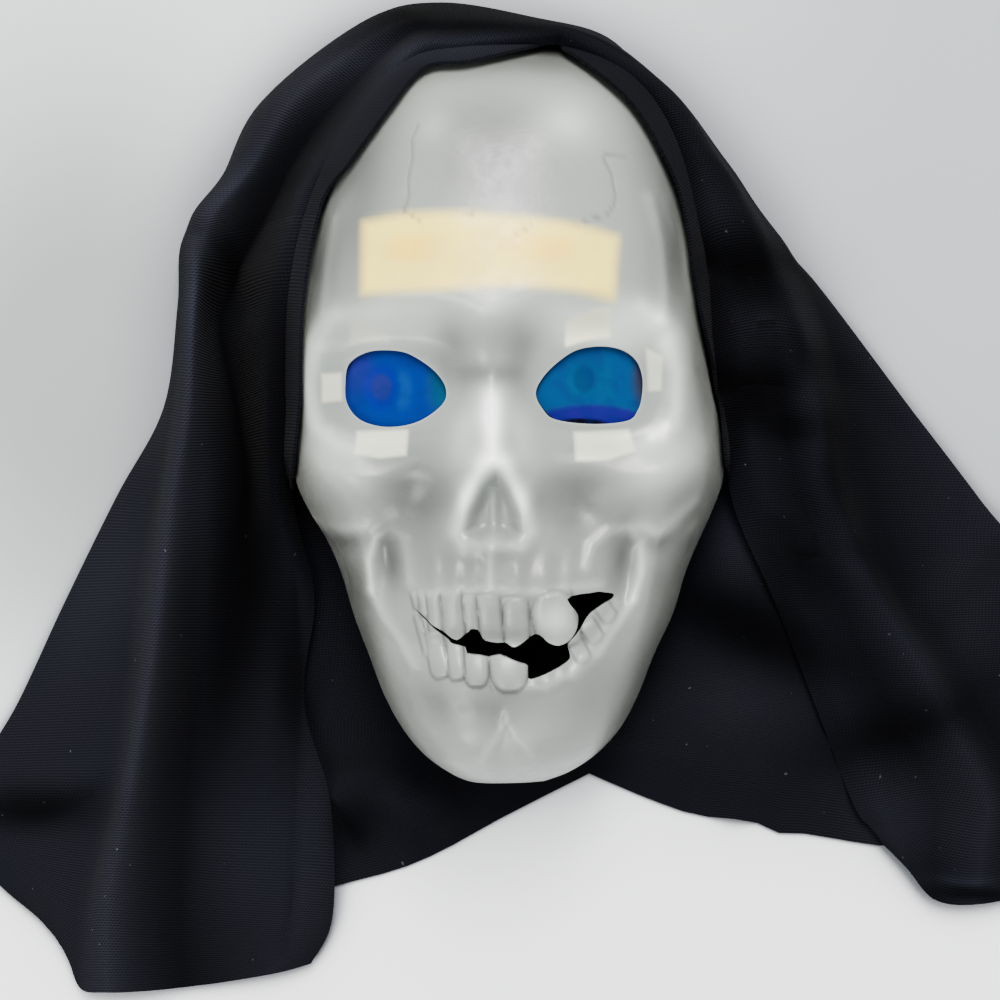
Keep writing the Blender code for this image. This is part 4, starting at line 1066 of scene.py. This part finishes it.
def knit_material():
    s = Shader("black_knit")
    cloth = s.node("ShaderNodeUVMap", uv_map="cloth").outputs["UV"]
    place = s.place()
    parts = s.node("ShaderNodeSeparateXYZ")
    s.feed(parts.inputs[0], cloth)
    turns_per_metre = 2 * math.pi * RIBS_PER_METRE
    turns = s.math("MULTIPLY", parts.outputs[1], turns_per_metre)
    rib = s.math("SINE", turns)
    stitch_turns = s.math("MULTIPLY", parts.outputs[0], turns_per_metre * STITCHES_PER_RIB)
    stitch = s.math("SINE", s.math("ADD", stitch_turns, s.math("MULTIPLY", turns, 0.5)))
    fuzz = s.noise(place, 1500, 5, 0.7)
    height = s.math("ADD", s.math("MULTIPLY", rib, RIB_HEIGHT), s.math("MULTIPLY", stitch, STITCH_HEIGHT))
    height = s.math("ADD", height, s.math("MULTIPLY", fuzz, FUZZ_HEIGHT))
    # Painted light on the crests of ribs, stitches and fuzz and painted shade in their grooves, partly the
    # fuzz's own uneven tone
    colour = s.mix(s.fade(height, -0.4, 1.3), eye(KNIT_GROOVE_SHADE), eye(KNIT_CREST_LIGHT))
    broad = s.noise(place, 25, 3)
    colour = s.mix(s.fade(broad, 0.4, 0.75, 0.0, 0.35), colour, eye(KNIT_BLUE))
    lint = s.noise(place, 330, 2, 0.4)
    colour = s.mix(s.fade(lint, 0.77, 0.81, 0.0, 0.8), colour, eye(LINT))
    # Painted light and shade of the folds, from the shade attribute
    light = s.node("ShaderNodeAttribute", attribute_name="shade").outputs["Fac"]
    lit = s.node("ShaderNodeVectorMath", operation="SCALE")
    s.fill(lit, Vector=colour, Scale=light)
    s.set(Base_Color=lit.outputs[0], Roughness=0.95)
    s.set(Sheen_Weight=0.01, Sheen_Roughness=0.5, Specular_IOR_Level=0.01)
    s.bump(height, 0.00025, 0.9)
    return s.material


# The pale surface, with painted light and shade: lit in front, painted shade behind and behind at the
# right, painted shadow beside the left fold, its clouds, and a painted contact shadow close under the hood
FLOOR_LIT_FRONT = (244, 244, 245)
FLOOR_SHADE_BACK = (184, 187, 187)
FLOOR_SHADE_RIGHT = (148, 151, 153)
FLOOR_SHADOW_BESIDE = (134, 137, 136)
FLOOR_CLOUD = (176, 178, 182)
FLOOR_CONTACT_SHADOW = (112, 114, 118)


def floor_material():
    """The surface, lighter towards the front with painted light, with painted shade behind and at the
    right, painted shadow beside the left fold, and a painted contact shadow where the hood stands close
    over it.
    """
    s = Shader("pale_surface")
    place = s.place()
    parts = s.node("ShaderNodeSeparateXYZ")
    s.feed(parts.inputs[0], place)
    # Painted light towards the front, painted shade towards the back and the right, painted shadow beside
    # the left fold
    down = s.fade(parts.outputs[1], -0.02, -0.17)
    dim = s.fade(parts.outputs[0], -0.02, 0.14)
    back = s.mix(dim, eye(FLOOR_SHADE_BACK), eye(FLOOR_SHADE_RIGHT))
    beside = s.fade(s.distance(place, -150, 50, 1.0, 0.7), 20, 110)
    back = s.mix(beside, eye(FLOOR_SHADOW_BESIDE), back)
    colour = s.mix(down, back, eye(FLOOR_LIT_FRONT))
    cloudy = s.fade(s.noise(place, 3, 2), 0.3, 0.7, 0.0, 0.08)
    colour = s.mix(cloudy, colour, eye(FLOOR_CLOUD))
    # Painted contact shadow where things stand close over the surface
    covered = s.node("ShaderNodeAmbientOcclusion", samples=8)
    s.fill(covered, Distance=0.03)
    open_sky = s.fade(covered.outputs["AO"], 0.6, 1.0)
    colour = s.mix(open_sky, eye(FLOOR_CONTACT_SHADOW), colour)
    s.set(Base_Color=colour, Roughness=0.9, Specular_IOR_Level=0.1)
    s.bump(s.noise(place, 300, 3), 0.0001, 0.1)
    return s.material


def give(made, material):
    made.data.materials.clear()
    made.data.materials.append(material)


def from_photo(px, py, z):
    """The place in millimetres of a photo point at a known height."""
    reach = (EYE_HEIGHT - z) / POINTS_PER_MM
    return (px - PHOTO_MIDDLE) * reach + EYE_X, (PHOTO_MIDDLE - py) * reach, z


def even_path(points, steps):
    """Points at equal distances along straight runs between the given points."""
    points = np.array(points, float)
    lengths = np.linalg.norm(np.diff(points, axis=0), axis=1)
    travelled = np.concatenate([[0.0], np.cumsum(lengths)])
    goals = np.linspace(0, travelled[-1], steps + 1)
    return np.stack([np.interp(goals, travelled, points[:, k]) for k in range(3)], axis=1)


def rib_points(rib, back_point, low_edge):
    """One rib: over the folds, round the outer edge and back under it, flat on the floor."""
    knots = np.array([from_photo(*p) for p in rib])
    over = rows_at(knots, np.linspace(0, len(rib) - 1, OVER_STEPS + 1))
    middle = CLOTH / 2
    back = from_photo(*back_point, 0)
    outer = over[-1]
    turn_in = EDGE_TURN / math.dist(outer[:2], back[:2])
    first = tuple(a + (b - a) * turn_in for a, b in zip(outer[:2], back[:2])) + (middle,)
    route = [first] + [from_photo(px, py, 0)[:2] + (middle,) for px, py in low_edge]
    if not low_edge:
        route.append(back[:2] + (middle,))
    return np.concatenate([over, even_path(route, UNDER_STEPS)])


def hood_sheet():
    """The middle of the cloth as a grid of points, from the left lower edge over the top to the right."""
    table = HOOD_LEFT[::-1] + [HOOD_TOP] + HOOD_RIGHT
    backs = HOOD_BACK[:0:-1] + HOOD_BACK
    edges = [BACK_EDGE_LEFT] + [[]] * (len(table) - 2) + [BACK_EDGE_RIGHT]
    ribs = np.array([rib_points(*row) for row in zip(table, backs, edges)])
    return rows_at(ribs, np.linspace(0, len(table) - 1, (len(table) - 1) * RIBS_BETWEEN + 1))


def lift_off_skull(sheet):
    """Moves cloth that would be in the shell towards the eye, until it is clear."""
    low = sheet[..., 2].copy()
    for _ in range(LIFT_ROUNDS):
        x, y, z = np.moveaxis(sheet, -1, 0)
        top, there = skull_height(x, y, -CLOTH / 2 - CLOTH_CLEAR)
        top = top + CLOTH_CLEAR + CLOTH / 2
        move = there & (low > LIFT_FROM) & (z < top)
        nearer = (EYE_HEIGHT - top[move]) / (EYE_HEIGHT - z[move])
        sheet[move, 0] = EYE_X + (x[move] - EYE_X) * nearer
        sheet[move, 1] = y[move] * nearer
        sheet[move, 2] = top[move]


def seen_at(x, y, z):
    """Photo point of a place in millimetres."""
    scale = POINTS_PER_MM / (EYE_HEIGHT - z)
    return PHOTO_MIDDLE + (x - EYE_X) * scale, PHOTO_MIDDLE - y * scale


def seen_sheet(sheet):
    """Photo points of the places of the cloth."""
    return seen_at(*np.moveaxis(sheet, -1, 0))


def add_creases(sheet):
    """Presses the creases into the folds and into the back of the cloth."""
    over = sheet[:, :OVER_STEPS + 1]
    back = sheet[:, OVER_STEPS + 1:]
    room = smooth_step((over[..., 2] - CLOTH) / CREASE_ROOM)
    for part, table, share in ((over, OVER_CREASES, room), (back, BACK_CREASES, 1.0)):
        height = part[..., 2] + ridge_height(*seen_sheet(part), table) * share
        part[..., 2] = np.maximum(height, CLOTH / 2)


def cloth_stops(sheet):
    """Light on each point of the cloth in stops, from its place on the rib and the named patches."""
    px, py = seen_sheet(sheet)
    knots = np.append(np.linspace(0, OVER_STEPS, len(FOLD_STOPS_LEFT) - 1), OVER_STEPS + 1)
    steps = np.arange(sheet.shape[1])
    left = np.interp(steps, knots, FOLD_STOPS_LEFT)
    right = np.interp(steps, knots, FOLD_STOPS_RIGHT)
    side = smooth_step((px - SIDES_MEET) / SIDES_BLEND)
    return left * (1 - side) + right * side + lump_height(px, py, CLOTH_PATCHES)


def hood_mesh():
    sheet = hood_sheet()
    add_creases(sheet)
    lift_off_skull(sheet[:, :OVER_STEPS + 1])
    rows, columns = sheet.shape[0], sheet.shape[1]
    along = np.linalg.norm(np.diff(sheet, axis=1), axis=2)
    u = np.concatenate([np.zeros((rows, 1)), np.cumsum(along, axis=1)], axis=1) * MM
    u -= u[:, FOLD_TOP:FOLD_TOP + 1]
    down = np.linalg.norm(np.diff(sheet[:, FOLD_TOP], axis=0), axis=1)
    v = np.repeat(np.concatenate([[0.0], np.cumsum(down)])[:, None], columns, axis=1) * MM
    bm = bmesh.new()
    shade = bm.verts.layers.float.new("shade")
    made = [bm.verts.new(p) for p in sheet.reshape(-1, 3).tolist()]
    for vertex, stops in zip(made, cloth_stops(sheet).ravel().tolist()):
        vertex[shade] = stops
    layer = bm.loops.layers.uv.new("cloth")
    flat_u, flat_v = u.ravel(), v.ravel()
    for i in range(rows - 1):
        for j in range(columns - 1):
            a = i * columns + j
            corners = (a, a + 1, a + columns + 1, a + columns)
            face = bm.faces.new([made[c] for c in corners])
            for loop, c in zip(face.loops, corners):
                loop[layer].uv = (flat_u[c], flat_v[c])
    joined = {}
    for i in range(rows // 2):
        joined[made[i * columns + columns - 1]] = made[(rows - 1 - i) * columns + columns - 1]
    bmesh.ops.weld_verts(bm, targetmap=joined)
    return bm


def thicken(bm):
    """Points and faces of the sheet's two sides and its edge, their place on the cloth and their light."""
    bm.normal_update()
    bm.verts.index_update()
    layer = bm.loops.layers.uv["cloth"]
    count = len(bm.verts)
    shade = bm.verts.layers.float["shade"]
    stops = np.array([v[shade] for v in bm.verts])
    middle = np.array([v.co for v in bm.verts])
    half = np.array([v.normal for v in bm.verts]) * (CLOTH / 2)
    upper, lower = middle + half, middle - half
    points = np.concatenate([upper, lower])
    points[:, 2] = np.maximum(points[:, 2], 0.0)
    faces, uvs = [], []
    for f in bm.faces:
        corners = [v.index for v in f.verts]
        spots = [tuple(loop[layer].uv) for loop in f.loops]
        faces += [corners, [c + count for c in corners[::-1]]]
        uvs += spots + spots[::-1]
    for e in bm.edges:
        if len(e.link_loops) == 1:
            loop = e.link_loops[0]
            a, b = loop.vert.index, loop.link_loop_next.vert.index
            spot_a, spot_b = tuple(loop[layer].uv), tuple(loop.link_loop_next[layer].uv)
            faces.append([b, a, a + count, b + count])
            uvs += [spot_b, spot_a, spot_a, spot_b]
    bm.free()
    return points, faces, uvs, np.tile(stops, 2)


def build_hood():
    points, faces, uvs, stops = thicken(hood_mesh())
    made = new_object("hood_cloth", points, faces)
    shade = made.data.attributes.new("shade", "FLOAT", "POINT")
    shade.data.foreach_set("value", 2.0 ** stops)
    layer = made.data.uv_layers.new(name="cloth")
    layer.data.foreach_set("uv", np.array(uvs).ravel())
    shade_smooth(made, 60)
    give(made, knit_material())
    return made


# The foam strip: edges, thickness, depth under the shell's outside, radius of its edges, mesh steps
PAD_LEFT, PAD_RIGHT = -41.0, 40.0
PAD_TOP, PAD_BOTTOM = 89.0, 65.0
PAD_THICK = 5.0
PAD_DROP = 3.4
PAD_ROUND = 1.2
PAD_COLUMNS, PAD_ROWS = 80, 26


def build_pad():
    """The foam strip, bent to follow the inside of the forehead, with rounded edges."""
    u, v = np.meshgrid(np.linspace(-1, 1, PAD_COLUMNS + 1), np.linspace(-1, 1, PAD_ROWS + 1))
    width, height = PAD_RIGHT - PAD_LEFT, PAD_TOP - PAD_BOTTOM
    x = (PAD_LEFT + PAD_RIGHT) / 2 + u * width / 2
    y = (PAD_TOP + PAD_BOTTOM) / 2 - v * height / 2
    top, _ = skull_height(x, y, 0.0)
    edge = np.minimum((1 - np.abs(u)) * width / 2, (1 - np.abs(v)) * height / 2)
    drop = PAD_ROUND * np.clip(1 - edge / (2 * PAD_ROUND), 0, 1) ** 2
    upper = np.stack([x, y, top - PAD_DROP - drop], axis=-1).reshape(-1, 3)
    lower = np.stack([x, y, top - PAD_DROP - PAD_THICK + drop], axis=-1).reshape(-1, 3)
    count = len(upper)
    faces = grid_faces(PAD_ROWS, PAD_COLUMNS, 0, False) + grid_faces(PAD_ROWS, PAD_COLUMNS, count, True)
    border = grid_border(PAD_ROWS, PAD_COLUMNS, 0)
    for a, b in zip(border, border[1:] + border[:1]):
        faces.append((b, a, a + count, b + count))
    made = new_object("foam_pad", np.concatenate([upper, lower]), faces)
    outward(made)
    shade_smooth(made, 60)
    give(made, foam_material())
    return made


def build_shell():
    made = shell_mesh()
    for outline in EYE_HOLES.values():
        cut(made, prism("hole", rounded(outline, EYE_STEPS), CUT_LOW, CUT_HIGH))
    cut(made, prism("mouth", rounded(MOUTH, MOUTH_STEPS), CUT_LOW, CUT_HIGH))
    paint_shell(made)
    shade_smooth(made, 50)
    give(made, plastic_material())
    return made


def build_floor():
    corners = ((-1, -1), (1, -1), (1, 1), (-1, 1))
    points = [(x * FLOOR_HALF, y * FLOOR_HALF, 0) for x, y in corners]
    made = new_object("floor", points, [(0, 1, 2, 3)])
    give(made, floor_material())
    return made


def add_light(name, place, size, watts):
    """An oblong soft light at a place in metres that looks at the mask."""
    data = bpy.data.lights.new(name, "AREA")
    data.shape = "RECTANGLE"
    data.size, data.size_y = size
    data.energy = watts
    made = bpy.data.objects.new(name, data)
    bpy.context.scene.collection.objects.link(made)
    made.location = place
    direction = np.subtract(LIGHTS_AIM, place)
    yaw = math.atan2(direction[1], direction[0])
    pitch = math.acos(-direction[2] / np.linalg.norm(direction))
    made.rotation_euler = (0, -pitch, yaw)


def build_lights():
    add_light("top_window", (0.05, 0.75, 1.1), (0.9, 0.45), 50)
    add_light("side_fill", (-0.7, -0.7, 1.1), (0.9, 0.6), 22)
    world = bpy.data.worlds.new("room")
    world.use_nodes = True
    background = world.node_tree.nodes["Background"]
    background.inputs["Color"].default_value = (0.93, 0.96, 1.0, 1)
    background.inputs["Strength"].default_value = 0.9
    bpy.context.scene.world = world


def build_camera():
    data = bpy.data.cameras.new("camera")
    data.sensor_width = SENSOR
    data.lens = SENSOR * POINTS_PER_MM / PHOTO_SIZE
    data.clip_start = 0.01
    made = bpy.data.objects.new("camera", data)
    bpy.context.scene.collection.objects.link(made)
    made.location = ((EYE_X - CENTRE_X) * MM, -CENTRE_Y * MM, EYE_HEIGHT * MM)
    bpy.context.scene.camera = made


def main():
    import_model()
    shell = build_shell()
    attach(shell, "root")
    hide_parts("skull_face")
    hood = build_hood()
    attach(hood, "root")
    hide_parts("hood")
    pad = build_pad()
    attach(pad, "root")
    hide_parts("forehead_pad")
    for side in ("left", "right"):
        give(bpy.data.objects["eye_lens_" + side], lens_material(side))
    tape = tape_material()
    for name in ("left_outer", "left_lower", "right_upper", "right_lower", "right_outer"):
        give(bpy.data.objects["lens_tape_" + name], tape)
    build_floor()
    build_lights()
    build_camera()


main()
